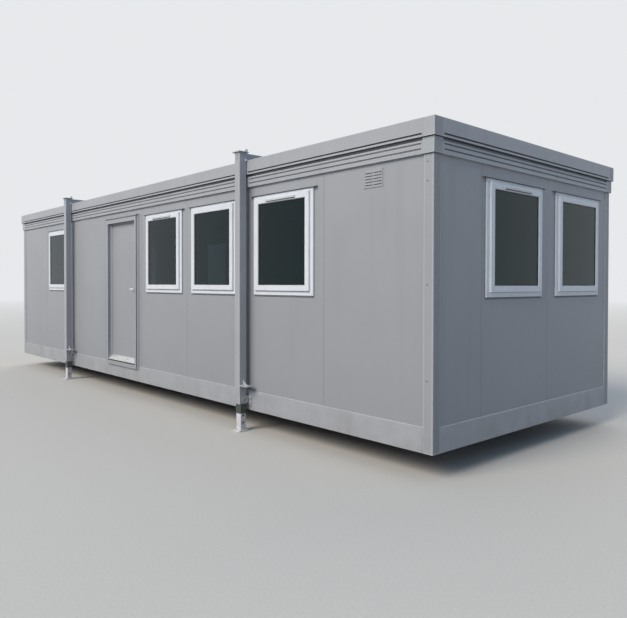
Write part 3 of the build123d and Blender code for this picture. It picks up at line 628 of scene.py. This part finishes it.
FINISHES = {
    rail_paint: ("chassis_side_rails", "chassis_end_rails"),
    chassis_primer: ("chassis_cross_members",),
    floor_board: ("floor_deck",),
    body_paint: ("corner_posts",),
    vent_paint: ("vent_grille",),
    shaded_drip_paint: ("window_drips",),
    panel_paint: [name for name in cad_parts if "_panel" in name],
    roof_board: ("roof_deck",),
    roof_steel: ("roof_sheet",),
    fascia_paint: ("fascia_upper_band",),
    lower_fascia_paint: ("fascia_lower_band",),
    cap_paint: ("fascia_corner_caps",),
    leg_paint: ("roof_beams", "leg_tubes", "leg_caps", "jack_brackets", "leg_cleats"),
    inner_leg_paint: ("inner_legs",),
    collar_paint: ("leg_collars", "leg_pins"),
    zinc: ("hinge_frame_leaves", "hinge_door_leaves", "hinge_pins"),
    white_plastic: ("window_frames", "window_sashes"),
    window_glass: ("window_glass",),
    pale_plastic: ("trickle_vents",),
    frame_paint: ("door_jamb_hinge_side", "door_jamb_lock_side", "door_head", "door_sill"),
    aluminium: ("door_threshold",),
    door_paint: ("door_leaf",),
    silver: ("door_levers",),
    dull_silver: ("door_handle_plates", "door_lock"),
}
for finish, nodes in FINISHES.items():
    for node in nodes:
        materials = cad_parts[node].data.materials
        materials.clear()
        materials.append(finish)


# Walls: covered seams, sealed ledge, welds and fixings
SEAM = half_round(0.016, 0.0016)
INNER_SEAM = half_round(0.032, 0.0024)
RAIL_WELD = half_round(0.014, 0.0012)
LEDGE_SLOPE = 1.3


def seam_strips():
    """Mastic-filled cover strips over the joints between the panels, outside and inside."""
    outer, inner = Form(), Form()
    ledge_top = wall_foot + ledge
    for side in OUTWARD:
        for seam in long_seams if side in LONG_SIDES else end_seams:
            along = seam if side in ("front", "right") else -seam
            outside = at(side, wall_face[side], along, (ledge_top + band_foot) / 2) @ UPRIGHT
            outer.run(outside, band_foot - ledge_top, SEAM)
            inside = at(side, wall_back[side], along, (floor_top + ceiling) / 2) @ INWARD @ UPRIGHT
            inner.run(inside, ceiling - floor_top, INNER_SEAM)
    outer.finish("panel_seam_strips", seam_paint, "body_paint")
    inner.finish("lining_seam_strips", lining_paint, "roof_board")


def ledge_flashing():
    """A sloped bead that sheds water where the panels stand on the chassis rails."""
    form = Form()
    section = [(0, -ledge), (0, 0), (ledge * LEDGE_SLOPE, -ledge)]
    for side in OUTWARD:
        out, half_length = extent(side)
        form.run(at(side, out, height=wall_foot), 2 * (half_length - post_size), section)
    form.finish("ledge_flashing", rail_paint, "body_paint")


def rail_welds():
    """Flush welds, ground and painted over, where the chassis rails meet the corner posts."""
    form = Form()
    for side in OUTWARD:
        out, half_length = extent(side)
        for sign in (-1, 1):
            place = at(side, out, sign * (half_length - post_size), (cabin_bottom + wall_foot) / 2)
            form.run(place @ UPRIGHT, wall_foot - cabin_bottom, RAIL_WELD)
    form.finish("rail_welds", rail_paint, "body_paint")


POST_SCREW_IN = 0.058
POST_SCREW_HEIGHTS = (0.80, 1.56, 2.38, 2.53)
POST_SCREW = (0.0065, 0.0028)
POST_WASHER = (0.0095, 0.001)


def post_screws():
    """Dome-headed screws on rubber washers down both outer faces of every corner post."""
    screws, washers = Form(), Form()
    for side in OUTWARD:
        out, half_length = extent(side)
        for sign in (-1, 1):
            for height in POST_SCREW_HEIGHTS:
                place = at(side, out, sign * (half_length - POST_SCREW_IN), height)
                dome_head(washers, place, POST_WASHER)
                dome_head(screws, place, POST_SCREW)
    screws.finish("post_screws", zinc, "bare_steel")
    washers.finish("post_screw_washers", black_rubber, "grey_plastic")


GROOVE_DEPTH = 0.006
SEALANT_THICK = 0.0015


def groove_shade_strips():
    """Dark strips in the floor of every pressed groove of the fascia, painted shade of the grooves, darkest
    in the upper one.
    """
    for node, paint in (("fascia_upper_band", groove_shade_dark), ("fascia_lower_band", sealant_and_shade_grey)):
        form = Form()
        for side, outward in OUTWARD.items():
            right = UP.cross(outward)
            floor = abs(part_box(node)[1].dot(outward)) - GROOVE_DEPTH
            corners = [vert.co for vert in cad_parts[node].data.vertices]
            places = {
                (round(corner.dot(right), 4), round(corner.z, 4))
                for corner in corners if abs(corner.dot(outward) - floor) < WELD
            }
            levels = sorted({z for _, z in places})
            for low, top in zip(levels[::2], levels[1::2]):
                ends = sorted({x for x, z in places if low <= z <= top})
                for start, stop in zip(ends[::2], ends[1::2]):
                    place = at(side, floor, (start + stop) / 2, (low + top) / 2)
                    form.run(place, stop - start, half_round(top - low, SEALANT_THICK))
        # These strips are painted shade in the groove floors
        form.finish(node + "_sealant", paint, "grey_plastic")


FASCIA_RIVET_PITCH = 0.6
FASCIA_RIVET_RISE = 0.045
CAP_RIVET_IN = 0.082
CAP_RIVET_RISES = (0.02, 0.085)
FASCIA_RIVET_CLEAR = leg_half * 2
FASCIA_RIVET = (0.004, 0.0016)


def fascia_rivets():
    """Rivets along the lower edge of the long upper bands and on the corner caps."""
    form = Form()
    low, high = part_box("fascia_upper_band")
    upper_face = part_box("fascia_corner_caps")[1].y
    lower_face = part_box("fascia_lower_band")[1].y
    for side in LONG_SIDES:
        for along in spaced(int((high.x - low.x) / FASCIA_RIVET_PITCH), FASCIA_RIVET_PITCH):
            if abs(abs(along) - leg_place) >= FASCIA_RIVET_CLEAR:
                dome_head(form, at(side, upper_face, along, low.z + FASCIA_RIVET_RISE), FASCIA_RIVET)
        for sign in (-1, 1):
            for rise in CAP_RIVET_RISES:
                place = at(side, lower_face, sign * (cabin_half_x - CAP_RIVET_IN), band_foot + rise)
                dome_head(form, place, FASCIA_RIVET)
    form.finish("fascia_rivets", fascia_paint, "body_paint")


# Windows and vents
REBATE = 0.015
GASKET = 0.005
SASH_GAP = 0.0021
SASH_GAP_DEPTH = 0.012
SASH_BEVEL = 0.006
FRAME_BEAD = 0.006
FOOT_BEAD_WIDTH = 0.016
FOOT_BEAD_PROUD = 0.007
MITRE_SHARE = 0.86
MITRE_WIDTH = 0.0012
MITRE_PROUD = 0.0002


def window_details():
    """Gaskets, sealant and welded mitres of every window, placed from its frame, sash and glass."""
    gaskets, gap_seals, sealant, mitres = Form(), Form(), Form(), Form()
    lip = [(0, 0), (-GASKET, 0), (-GASKET * 0.7, GASKET * 0.5), (0, GASKET * 0.9)]
    gap = oblong(0, SASH_GAP, -SASH_GAP_DEPTH, -TUCK)
    for boxes in zip(solids("window_frames"), solids("window_sashes"), solids("window_glass")):
        of_frame, of_sash, of_pane = map(on_wall, boxes)
        side, frame_point, frame_width, frame_height, _ = of_frame
        sash_point, sash_width, sash_height, _ = of_sash[1:]
        pane_point, pane_width, pane_height, pane_depth = of_pane[1:]
        outward = OUTWARD[side]
        glass_width, glass_height = pane_width - 2 * REBATE, pane_height - 2 * REBATE
        behind = facing(side, pane_point - outward * pane_depth) @ INWARD
        for matrix in (facing(side, pane_point), behind):
            gaskets.loop(matrix, glass_width, glass_height, lip)
        # A gasket in the gap round the sash, grey as painted shade of that gap
        level = sash_point - outward * (sash_point - frame_point).dot(outward)
        gap_seals.loop(facing(side, level), sash_width, sash_height, gap)
        at_wall = frame_point - outward * (frame_point.dot(outward) - wall_face[side])
        # A real sealant bead round and under each frame, coloured dark grey as painted shadow of the proud
        # frame
        sealant.loop(facing(side, at_wall), frame_width, frame_height, corner_bead(FRAME_BEAD, 0.4, 0.35))
        foot = facing(side, at_wall - UP * (frame_height + FOOT_BEAD_WIDTH) / 2)
        sealant.run(foot, frame_width, half_round(FOOT_BEAD_WIDTH, FOOT_BEAD_PROUD))
        for point, width, height, bar in (
            (frame_point, frame_width, frame_height, (frame_width - sash_width) / 2),
            (sash_point, sash_width, sash_height, (sash_width - glass_width) / 2 - SASH_BEVEL),
        ):
            reach = bar * math.sqrt(2) * MITRE_SHARE / 2
            for sign_x, sign_y in CORNERS:
                corner = Matrix.Translation((sign_x * (width - bar) / 2, sign_y * (height - bar) / 2, 0))
                turn = Matrix.Rotation(math.radians(45 * sign_x * sign_y), 4, "Z")
                mitres.block(
                    facing(side, point) @ corner @ turn,
                    (-reach, -MITRE_WIDTH / 2, -MITRE_PROUD), (reach, MITRE_WIDTH / 2, MITRE_PROUD),
                )
    gaskets.finish("window_gaskets", black_rubber, "grey_plastic")
    gap_seals.finish("window_gap_seals", grey_rubber, "grey_plastic")
    sealant.finish("window_sealant", sealant_and_shade_grey, "grey_plastic")
    mitres.finish("window_mitres", grey_plastic, "white_plastic")


HOOD_CAP = 0.014
HOOD_LIP = 0.0015
HOOD_SLOT = 0.004


def trickle_vent_details():
    """End caps, and the dark slot under the hoods, a black block as painted shade."""
    caps, slots = Form(), Form()
    for box in solids("trickle_vents"):
        side, point, width, height, depth = on_wall(box)
        matrix = facing(side, point)
        for end in (-width / 2, width / 2):
            caps.block(
                matrix, (end - HOOD_CAP / 2, -height / 2 - HOOD_LIP, -depth),
                (end + HOOD_CAP / 2, height / 2 + HOOD_LIP, -HOOD_LIP / 2),
            )
        # Painted shade: a black block fills the slot under the hood
        slots.block(
            matrix, (-width / 2 + HOOD_CAP, -height / 2 - HOOD_SLOT, -depth),
            (width / 2 - HOOD_CAP, -height / 2 + TUCK, -depth / 3),
        )
    caps.finish("trickle_vent_caps", pale_plastic, "grey_plastic", bevel=0.001)
    slots.finish("trickle_vent_slots", black_rubber, "grey_plastic")


LOUVRE_PROUD = 0.007
VENT_PLATE = 0.006
VENT_BORDER = 0.014
VENT_SCREW_IN = 0.008
VENT_SCREW = (0.0035, 0.0016)
SCREEN_PITCH = 0.006
SCREEN_WIRE = 0.0009
DUCT_WALL = 0.0015
INNER_GRILLE = 0.004
INNER_BARS = 7
INNER_BAR_HALF = 0.006


def wall_vent_details():
    """Screws on the vent's plate, an insect screen behind its slots, a duct and an inner grille."""
    side, point, width, height, _ = on_wall(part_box("vent_grille"))
    outward = OUTWARD[side]
    plate = point - outward * LOUVRE_PROUD
    screws, screen, duct = Form(), Form(), Form()
    for sign_x, sign_y in CORNERS:
        corner = (sign_x * (width / 2 - VENT_SCREW_IN), sign_y * (height / 2 - VENT_SCREW_IN), 0)
        dome_head(screws, facing(side, plate) @ Matrix.Translation(corner), VENT_SCREW)
    half_x, half_y = width / 2 - VENT_BORDER, height / 2 - VENT_BORDER
    opening = (2 * half_x, 2 * half_y)
    wall = panel_face_y - panel_back_y
    behind = facing(side, plate - outward * VENT_PLATE)
    near, far = -VENT_PLATE, -VENT_PLATE - SCREEN_WIRE
    for half, reach, turn in ((half_x, half_y, Matrix()), (half_y, half_x, UPRIGHT)):
        for n in range(int(2 * half / SCREEN_PITCH)):
            x = n * SCREEN_PITCH - half
            screen.block(behind @ turn, (x, -reach, far), (x + SCREEN_WIRE, reach, near))
    duct.loop(behind, *opening, oblong(0, -DUCT_WALL, -TUCK, -wall))
    inner = facing(side, plate - outward * (wall + VENT_PLATE)) @ INWARD
    duct.loop(inner, *opening, oblong(VENT_BORDER, -INNER_GRILLE, 0, INNER_GRILLE))
    for y in spaced(INNER_BARS, 2 * half_y / INNER_BARS):
        duct.block(inner, (-half_x, y - INNER_BAR_HALF, TUCK), (half_x, y + INNER_BAR_HALF, INNER_GRILLE))
    screws.finish("vent_screws", zinc, "bare_steel")
    screen.finish("vent_insect_screen", grey_plastic, "grey_plastic")
    duct.finish("vent_duct", white_plastic, "white_plastic")


# Door
SEAL_LIP = 0.021
SEAL_THICK = 0.0012
SEAL_CLEAR = 0.0004
COVER_BEAD = 0.019
NOSING = 0.016
NOSING_PROUD = 0.002
DRIP_REACH = 0.006
DRIP_PROUD = 0.010
DRIP_HEIGHT = 0.020
MASTIC_WIDTH = 0.022
MASTIC_SHORT = 0.002


def front_strip(form, x, toward, y, low, high, section):
    """An upright strip on the front wall, whose section grows from x toward +X (1) or -X (-1)."""
    turn = Matrix.Rotation(-toward * math.pi / 2, 4, "Z")
    form.run(facing("front", (x, y, (low + high) / 2)) @ turn, high - low, section)


def door_seals():
    """The leaf's weather seal, the bead that covers it, and a dark nosing under the threshold as painted
    shadow.
    """
    seal, bead = Form(), Form()
    seal_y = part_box("door_leaf")[0].y - SEAL_CLEAR
    head_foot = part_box("door_head")[0].z
    sill_low, sill_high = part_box("door_sill")
    step_low, step_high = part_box("door_threshold")
    centre_x = (step_low.x + step_high.x) / 2
    width = step_high.x - step_low.x
    bead_section = [(-TUCK, SEAL_THICK), (COVER_BEAD, SEAL_THICK), (-TUCK, COVER_BEAD + SEAL_THICK)]
    for form, section in ((seal, oblong(0, SEAL_LIP, 0, SEAL_THICK)), (bead, bead_section)):
        for x, toward in ((step_low.x, 1), (step_high.x, -1)):
            front_strip(form, x, toward, seal_y, step_high.z, head_foot, section)
        top = facing("front", (centre_x, seal_y, head_foot))
        form.run(top, width, [(-y, z) for y, z in section])
    # Painted shadow: a black strip along the sill under the threshold's front edge
    foot = facing("front", (centre_x, sill_low.y, sill_high.z - NOSING / 2))
    seal.run(foot, width, half_round(NOSING, NOSING_PROUD))
    seal.finish("door_seal", black_rubber, "grey_plastic")
    bead.finish("door_seal_bead", frame_paint, "body_paint")


def door_flashing():
    """A drip strip over the door's frame, and mastic down both of its sides."""
    drip, mastic = Form(), Form()
    drip.block(
        Matrix(), (door_low.x - DRIP_REACH, door_low.y - DRIP_PROUD, door_high.z),
        (door_high.x + DRIP_REACH, -panel_face_y, door_high.z + DRIP_HEIGHT),
    )
    proud = -panel_face_y - door_low.y
    for x, toward, rise in ((door_high.x, 1, proud - MASTIC_SHORT), (door_low.x, -1, proud / 2)):
        section = [(-TUCK, -TUCK), (MASTIC_WIDTH, -TUCK), (-TUCK, rise)]
        front_strip(mastic, x, toward, -panel_face_y, door_low.z, door_high.z, section)
    drip.finish("door_drip_strip", shaded_drip_paint, "body_paint", bevel=0.002)
    mastic.finish("door_frame_mastic", frame_paint, "body_paint")


STEP_NOSE = 0.005
STEP_RIBS = 9
STEP_RIB = half_round(0.003, 0.0012)
STEP_RIB_SHORT = 0.008
STEP_SCREW = (0.0055, 0.0018)
STEP_SCREW_PITCH = 0.24


def threshold_ribs():
    """Grip ribs and screw heads on the slope of the threshold."""
    form = Form()
    low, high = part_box("door_threshold")
    rise, depth = high.z - low.z - STEP_NOSE, high.y - low.y - STEP_NOSE
    slope = math.hypot(rise, depth)
    nose = Matrix.Translation(((low.x + high.x) / 2, low.y, low.z + STEP_NOSE))
    tilted = nose @ Matrix.Rotation(math.atan2(rise, depth), 4, "X")
    for n in range(1, STEP_RIBS + 1):
        rib = tilted @ Matrix.Translation((0, slope * n / (STEP_RIBS + 1), 0))
        form.run(rib, high.x - low.x - STEP_RIB_SHORT, STEP_RIB)
    for x in spaced(4, STEP_SCREW_PITCH):
        dome_head(form, tilted @ Matrix.Translation((x, slope / 2, 0)), STEP_SCREW)
    form.finish("threshold_ribs", aluminium, "aluminium")


FRAME_RIVET_IN = 0.018
FRAME_RIVET_FOOT = 0.09
FRAME_RIVET_HEAD = 0.13
FRAME_RIVET_SIDE = 0.18
FRAME_RIVET = (0.0042, 0.0014)


def door_frame_rivets():
    """Rivets up both sides of the door's frame and along its head."""
    form = Form()
    heights = between(door_low.z + FRAME_RIVET_FOOT, door_high.z - FRAME_RIVET_HEAD, 6)
    sides = (door_low.x + FRAME_RIVET_IN, door_high.x - FRAME_RIVET_IN)
    along_head = between(door_low.x + FRAME_RIVET_SIDE, door_high.x - FRAME_RIVET_SIDE, 3)
    places = [(x, z) for x in sides for z in heights]
    places += [(x, door_high.z - FRAME_RIVET_IN) for x in along_head]
    for x, z in places:
        dome_head(form, facing("front", (x, door_low.y, z)), FRAME_RIVET)
    form.finish("door_frame_rivets", frame_paint, "body_paint")


PLATE_SCREW_IN = 0.014
PLATE_SCREW = ((0.0042, 0), (0.0042, 0.0005), (0.0034, 0.0009), (0, 0.0009))
CROSS_LONG, CROSS_THIN = 0.003, 0.0005
CROSS_LOW, CROSS_HIGH = 0.0006, 0.0011
KEYHOLE_LOW = (-0.0009, -0.0046, -0.0002)
KEYHOLE_HIGH = (0.0009, 0.0040, 0.0003)


def handle_fixings():
    """Cross-slotted screws on the handle plates, and the keyholes of the lock, their slots black blocks as
    painted shade.
    """
    screws, dark = Form(), Form()
    leaf_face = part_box("door_leaf")[0].y
    for low, high in solids("door_handle_plates"):
        side, y = ("front", low.y) if low.y < leaf_face else ("back", high.y)
        for z in (low.z + PLATE_SCREW_IN, high.z - PLATE_SCREW_IN):
            matrix = facing(side, ((low.x + high.x) / 2, y, z))
            screws.turned(matrix, PLATE_SCREW, 16)
            # Painted shade: black crosses stand for the screws' slots
            for x, y_half in ((CROSS_LONG, CROSS_THIN), (CROSS_THIN, CROSS_LONG)):
                dark.block(matrix, (-x, -y_half, CROSS_LOW), (x, y_half, CROSS_HIGH))
    low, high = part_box("door_lock")
    for side, y in (("front", low.y), ("back", high.y)):
        matrix = facing(side, ((low.x + high.x) / 2, y, (low.z + high.z) / 2))
        # Painted shade: a black block stands for each keyhole
        dark.block(matrix, KEYHOLE_LOW, KEYHOLE_HIGH)
    screws.finish("handle_screws", silver, "silver", body="door")
    dark.finish("keyholes", black_rubber, "grey_plastic", body="door")


ROSETTE_OVERLAP = 0.0006


def door_rosettes():
    """Raised collars round the spindle, which turn with the levers."""
    form = Form()
    lever_low, lever_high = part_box("door_levers")
    plate_low, plate_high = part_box("door_handle_plates")
    radius = (lever_high.z - lever_low.z) / 2
    bore, rim, brow = radius * 0.95, radius * 1.5, radius * 1.2
    for side, y in (("front", plate_low.y - ROSETTE_OVERLAP), ("back", plate_high.y + ROSETTE_OVERLAP)):
        matrix = facing(side, (lever_high.x - radius, y, (lever_low.z + lever_high.z) / 2))
        profile = ((bore, 0), (rim, 0), (rim, 0.005), (brow, 0.008), (bore, 0.009), (bore, 0))
        form.turned(matrix, profile, 28)
    form.finish("lever_rosettes", silver, "silver", body="levers")


# Legs
CLEAT_PLATE = 0.010
CLEAT_BOLT = 0.010
CLEAT_BOLT_OUT = 0.034
CLEAT_BOLT_DROPS = (0.027, 0.080)
RING_RADIUS = 0.034
RING_HEIGHT = 0.006
RING_OUT = 0.061
RING_DROP = 0.044


def cleat_fixings():
    """Bolts through the cleats into the chassis, and a raised ring on each cleat's web."""
    form = Form()
    ring = (
        (RING_RADIUS * 0.66, 0), (RING_RADIUS * 0.70, RING_HEIGHT), (RING_RADIUS * 0.94, RING_HEIGHT),
        (RING_RADIUS, RING_HEIGHT * 0.7), (RING_RADIUS, 0),
    )
    for low, high in solids("leg_cleats"):
        side = "front" if low.y < 0 else "back"
        centre_x = (low.x + high.x) / 2
        leg_x = math.copysign(leg_place, centre_x)
        away = math.copysign(1, centre_x - leg_x)
        for drop in CLEAT_BOLT_DROPS:
            x = leg_x + away * (leg_half + CLEAT_BOLT_OUT)
            y = (cabin_half_y + CLEAT_PLATE) * OUTWARD[side].y
            hex_bolt(form, facing(side, (x, y, high.z - drop)), CLEAT_BOLT)
        x = leg_x + away * (leg_half + CLEAT_PLATE)
        y = (cabin_half_y + RING_OUT) * OUTWARD[side].y
        web = facing("right" if away > 0 else "left", (x, y, high.z - RING_DROP))
        form.turned(web, ring, 28)
    form.finish("leg_bolts", rail_paint, "body_paint")


WELD_SIZE = 0.007
WELD_SUNK = 0.0005
BRACKET_THICK = 0.010
FOOT_THICK = 0.012
COLLAR_WALL = 0.006


def leg_welds():
    """Weld beads under the cap plates, along the jack brackets and round the feet."""
    form = Form()
    bead = corner_bead(WELD_SIZE, 0.55, 0.5)
    for low, high in legs:
        centre = middle((low, high))
        top = Matrix.Translation((centre.x, centre.y, high.z)) @ UPSIDE_DOWN
        form.loop(top, 2 * leg_half, 2 * leg_half, bead)
    for low, high in solids("jack_brackets"):
        for z, turn, sign in ((low.z, INWARD, 1), (low.z + BRACKET_THICK, Matrix(), -1)):
            line = Matrix.Translation((low.x, (low.y + high.y) / 2, z)) @ turn @ UPRIGHT
            form.run(line, high.y - low.y, [
                (0, -WELD_SUNK), (sign * WELD_SIZE, -WELD_SUNK), (sign * WELD_SIZE * 0.4, WELD_SIZE * 0.4),
                (0, WELD_SIZE),
            ])
    for collar, foot in zip(solids("leg_collars"), solids("inner_legs")):
        size, centre = collar[1] - collar[0], middle(foot)
        place = Matrix.Translation((centre.x, centre.y, foot[0].z + FOOT_THICK))
        form.loop(place, size.x - 2 * COLLAR_WALL, size.y - 2 * COLLAR_WALL, bead)
    form.finish("leg_welds", leg_paint, "body_paint")


BEAM_BOLT = 0.011
BEAM_BOLT_IN = 0.010
BEAM_BOLT_DROP = 0.004
HEAD_BOLT = 0.008
HEAD_BOLT_RISES = (0.02, 0.05)


def leg_head_bolts():
    """Bright bolts beside each leg under its roof beam, and painted ones on its face."""
    bright, painted = Form(), Form()
    beam_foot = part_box("roof_beams")[0].z
    for low, high in legs:
        centre = middle((low, high))
        side = "front" if centre.y < 0 else "back"
        y = centre.y - OUTWARD[side].y * (leg_half - BEAM_BOLT_IN)
        for web, sign in (("right", 1), ("left", -1)):
            point = (centre.x + sign * leg_half, y, beam_foot - BEAM_BOLT_DROP)
            hex_bolt(bright, facing(web, point), BEAM_BOLT, washer=1.4)
        for rise in HEAD_BOLT_RISES:
            point = (centre.x, high.y if side == "back" else low.y, beam_foot + rise)
            hex_bolt(painted, facing(side, point), HEAD_BOLT, washer=1.6)
    bright.finish("leg_bright_fixings", bright_zinc, "bare_steel")
    painted.finish("leg_painted_bolts", leg_paint, "body_paint")


# Roof and room
ROOF_RIB_PITCH = 0.333
ROOF_SCREW_ROWS = (-0.96, -0.48, 0.0, 0.48, 0.96)
ROOF_SCREW = 0.005
ROOF_SCREW_CLEAR = leg_half * 1.4
SCREW_STRAY_X, SCREW_STRAY_Y = 0.004, 0.01
UPSTAND = ((0, 0), (-0.03, 0), (-0.004, 0.022), (0, 0.024))
UPSTAND_RAISED = 0.002


def roof_details():
    """Washered screws along the ribs and a sealed upstand round the sheet."""
    low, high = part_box("roof_sheet")
    fixings, upstand = Form(), Form()
    for x in spaced(int((high.x - low.x) // ROOF_RIB_PITCH) - 1, ROOF_RIB_PITCH):
        if abs(abs(x) - leg_place) < ROOF_SCREW_CLEAR:
            continue
        for row in ROOF_SCREW_ROWS:
            stray_x = draw.uniform(-SCREW_STRAY_X, SCREW_STRAY_X)
            stray_y = draw.uniform(-SCREW_STRAY_Y, SCREW_STRAY_Y)
            place = Matrix.Translation((x + stray_x, row * high.y + stray_y, high.z))
            hex_bolt(fixings, place, ROOF_SCREW)
    flat = Matrix.Translation((0, 0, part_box("roof_deck")[1].z + UPSTAND_RAISED))
    upstand.loop(flat, high.x - low.x, high.y - low.y, UPSTAND)
    fixings.finish("roof_screws", zinc, "bare_steel")
    upstand.finish("roof_upstand_seal", roof_steel, "roof_steel")


SKIRTING_HEIGHT = 0.07
SKIRTING_THICK = 0.009
SKIRTING_SLOPE = 0.006
COVE = 0.03


def room_details():
    """Plastic skirting round the room, broken at the doorway, and a cove under the ceiling."""
    form = Form()
    base = [
        (0, 0), (0, SKIRTING_THICK), (SKIRTING_HEIGHT - SKIRTING_SLOPE, SKIRTING_THICK), (SKIRTING_HEIGHT, 0),
    ]
    for side in OUTWARD:
        half = panel_back_x if side in LONG_SIDES else panel_back_y
        ends = (-half, door_low.x, door_high.x, half) if side == "front" else (-half, half)
        for start, stop in zip(ends[::2], ends[1::2]):
            place = at(side, wall_back[side], (start + stop) / 2, floor_top) @ MIRRORED
            form.run(place, stop - start, base)
        top = at(side, wall_back[side], height=ceiling) @ MIRRORED
        form.run(top, 2 * half, [(0, 0), (0, COVE), (-COVE, 0)])
    form.finish("room_trim", white_plastic, "white_plastic")


seam_strips()
ledge_flashing()
rail_welds()
post_screws()
groove_shade_strips()
fascia_rivets()
window_details()
trickle_vent_details()
wall_vent_details()
door_seals()
door_flashing()
threshold_ribs()
door_frame_rivets()
handle_fixings()
door_rosettes()
cleat_fixings()
leg_welds()
leg_head_bolts()
roof_details()
room_details()


# Stage, light and camera
STAGE_HALF = 300
STAGE_FADE_START, STAGE_FADE_STOP = 12.0, 60.0


def make_stage():
    """A pale floor that fades into the pale background, and keeps the cabin's shadow."""
    stage = Shader("stage_floor")
    distance = stage.node("VectorMath", {0: stage.place}, "Value", operation="LENGTH")
    far = stage.spread(distance, STAGE_FADE_START, STAGE_FADE_STOP)
    grain = stage.patches(0.3, 0.7, scale=60, detail=6)
    seen = stage.directly_seen()
    stage.tone = stage.blend(seen, FLOOR_BOUNCE, stage.blend(grain, FLOOR_DARK, FLOOR_LIGHT))
    material = stage.finish(0.9, {"Specular IOR Level": 0.2})
    glow = stage.node("Emission", {"Color": SKY_SEEN})
    share = stage.math("MULTIPLY", far, seen)
    mixed = stage.node("MixShader", {0: share, 1: stage.surface.outputs[0], 2: glow})
    stage.join(mixed, stage.nodes["Material Output"].inputs["Surface"])
    data = bpy.data.meshes.new("stage_floor")
    data.from_pydata([(x * STAGE_HALF, y * STAGE_HALF, 0) for x, y in CORNERS], (), [(0, 1, 2, 3)])
    data.materials.append(material)
    add_object("stage_floor", data)


def direction(turn, rise):
    """The unit vector at a turn from +X toward +Y and a rise above level."""
    return Vector((math.cos(rise) * math.cos(turn), math.cos(rise) * math.sin(turn), math.sin(rise)))


def make_light():
    """An even cool sky, a broad warm lamp from the front and a weak one from behind."""
    world = bpy.data.worlds.new("sky")
    bpy.context.scene.world = world
    sky = Shader("sky", world)
    lit = sky.node("Background", {"Color": SKY_LIGHT})
    shown = sky.node("Background", {"Color": SKY_SEEN})
    mixed = sky.node("MixShader", {0: sky.directly_seen(), 1: lit, 2: shown})
    sky.join(mixed, sky.nodes["World Output"].inputs["Surface"])
    for name, (strength, colour, softness, side, height) in LAMPS.items():
        lamp = bpy.data.lights.new(name, "SUN")
        lamp.energy = strength
        lamp.color = colour
        lamp.angle = math.radians(softness)
        travel = direction(math.radians(90 - side), -math.radians(height))
        add_object(name, lamp).rotation_euler = travel.to_track_quat("-Z", "Y").to_euler()


def make_camera():
    """The photograph's camera: its place, its direction and its off-centre crop."""
    lens = bpy.data.cameras.new("camera")
    lens.sensor_width = SENSOR_WIDTH
    lens.lens = SENSOR_WIDTH * FOCAL_PIXELS / IMAGE_WIDTH
    lens.shift_x = -CENTRE_RIGHT_PIXELS / IMAGE_WIDTH
    lens.shift_y = -CENTRE_UP_PIXELS / IMAGE_WIDTH
    lens.clip_end = FARTHEST_SEEN
    camera = add_object("camera", lens)
    aim = direction(CAMERA_YAW, CAMERA_PITCH).to_track_quat("-Z", "Y").to_matrix().to_4x4()
    roll = Matrix.Rotation(CAMERA_ROLL, 4, "Z")
    camera.matrix_world = Matrix.Translation(CAMERA_PLACE) @ aim @ roll
    bpy.context.scene.camera = camera
    bpy.context.scene.view_settings.view_transform = "Standard"


make_stage()
make_light()
make_camera()
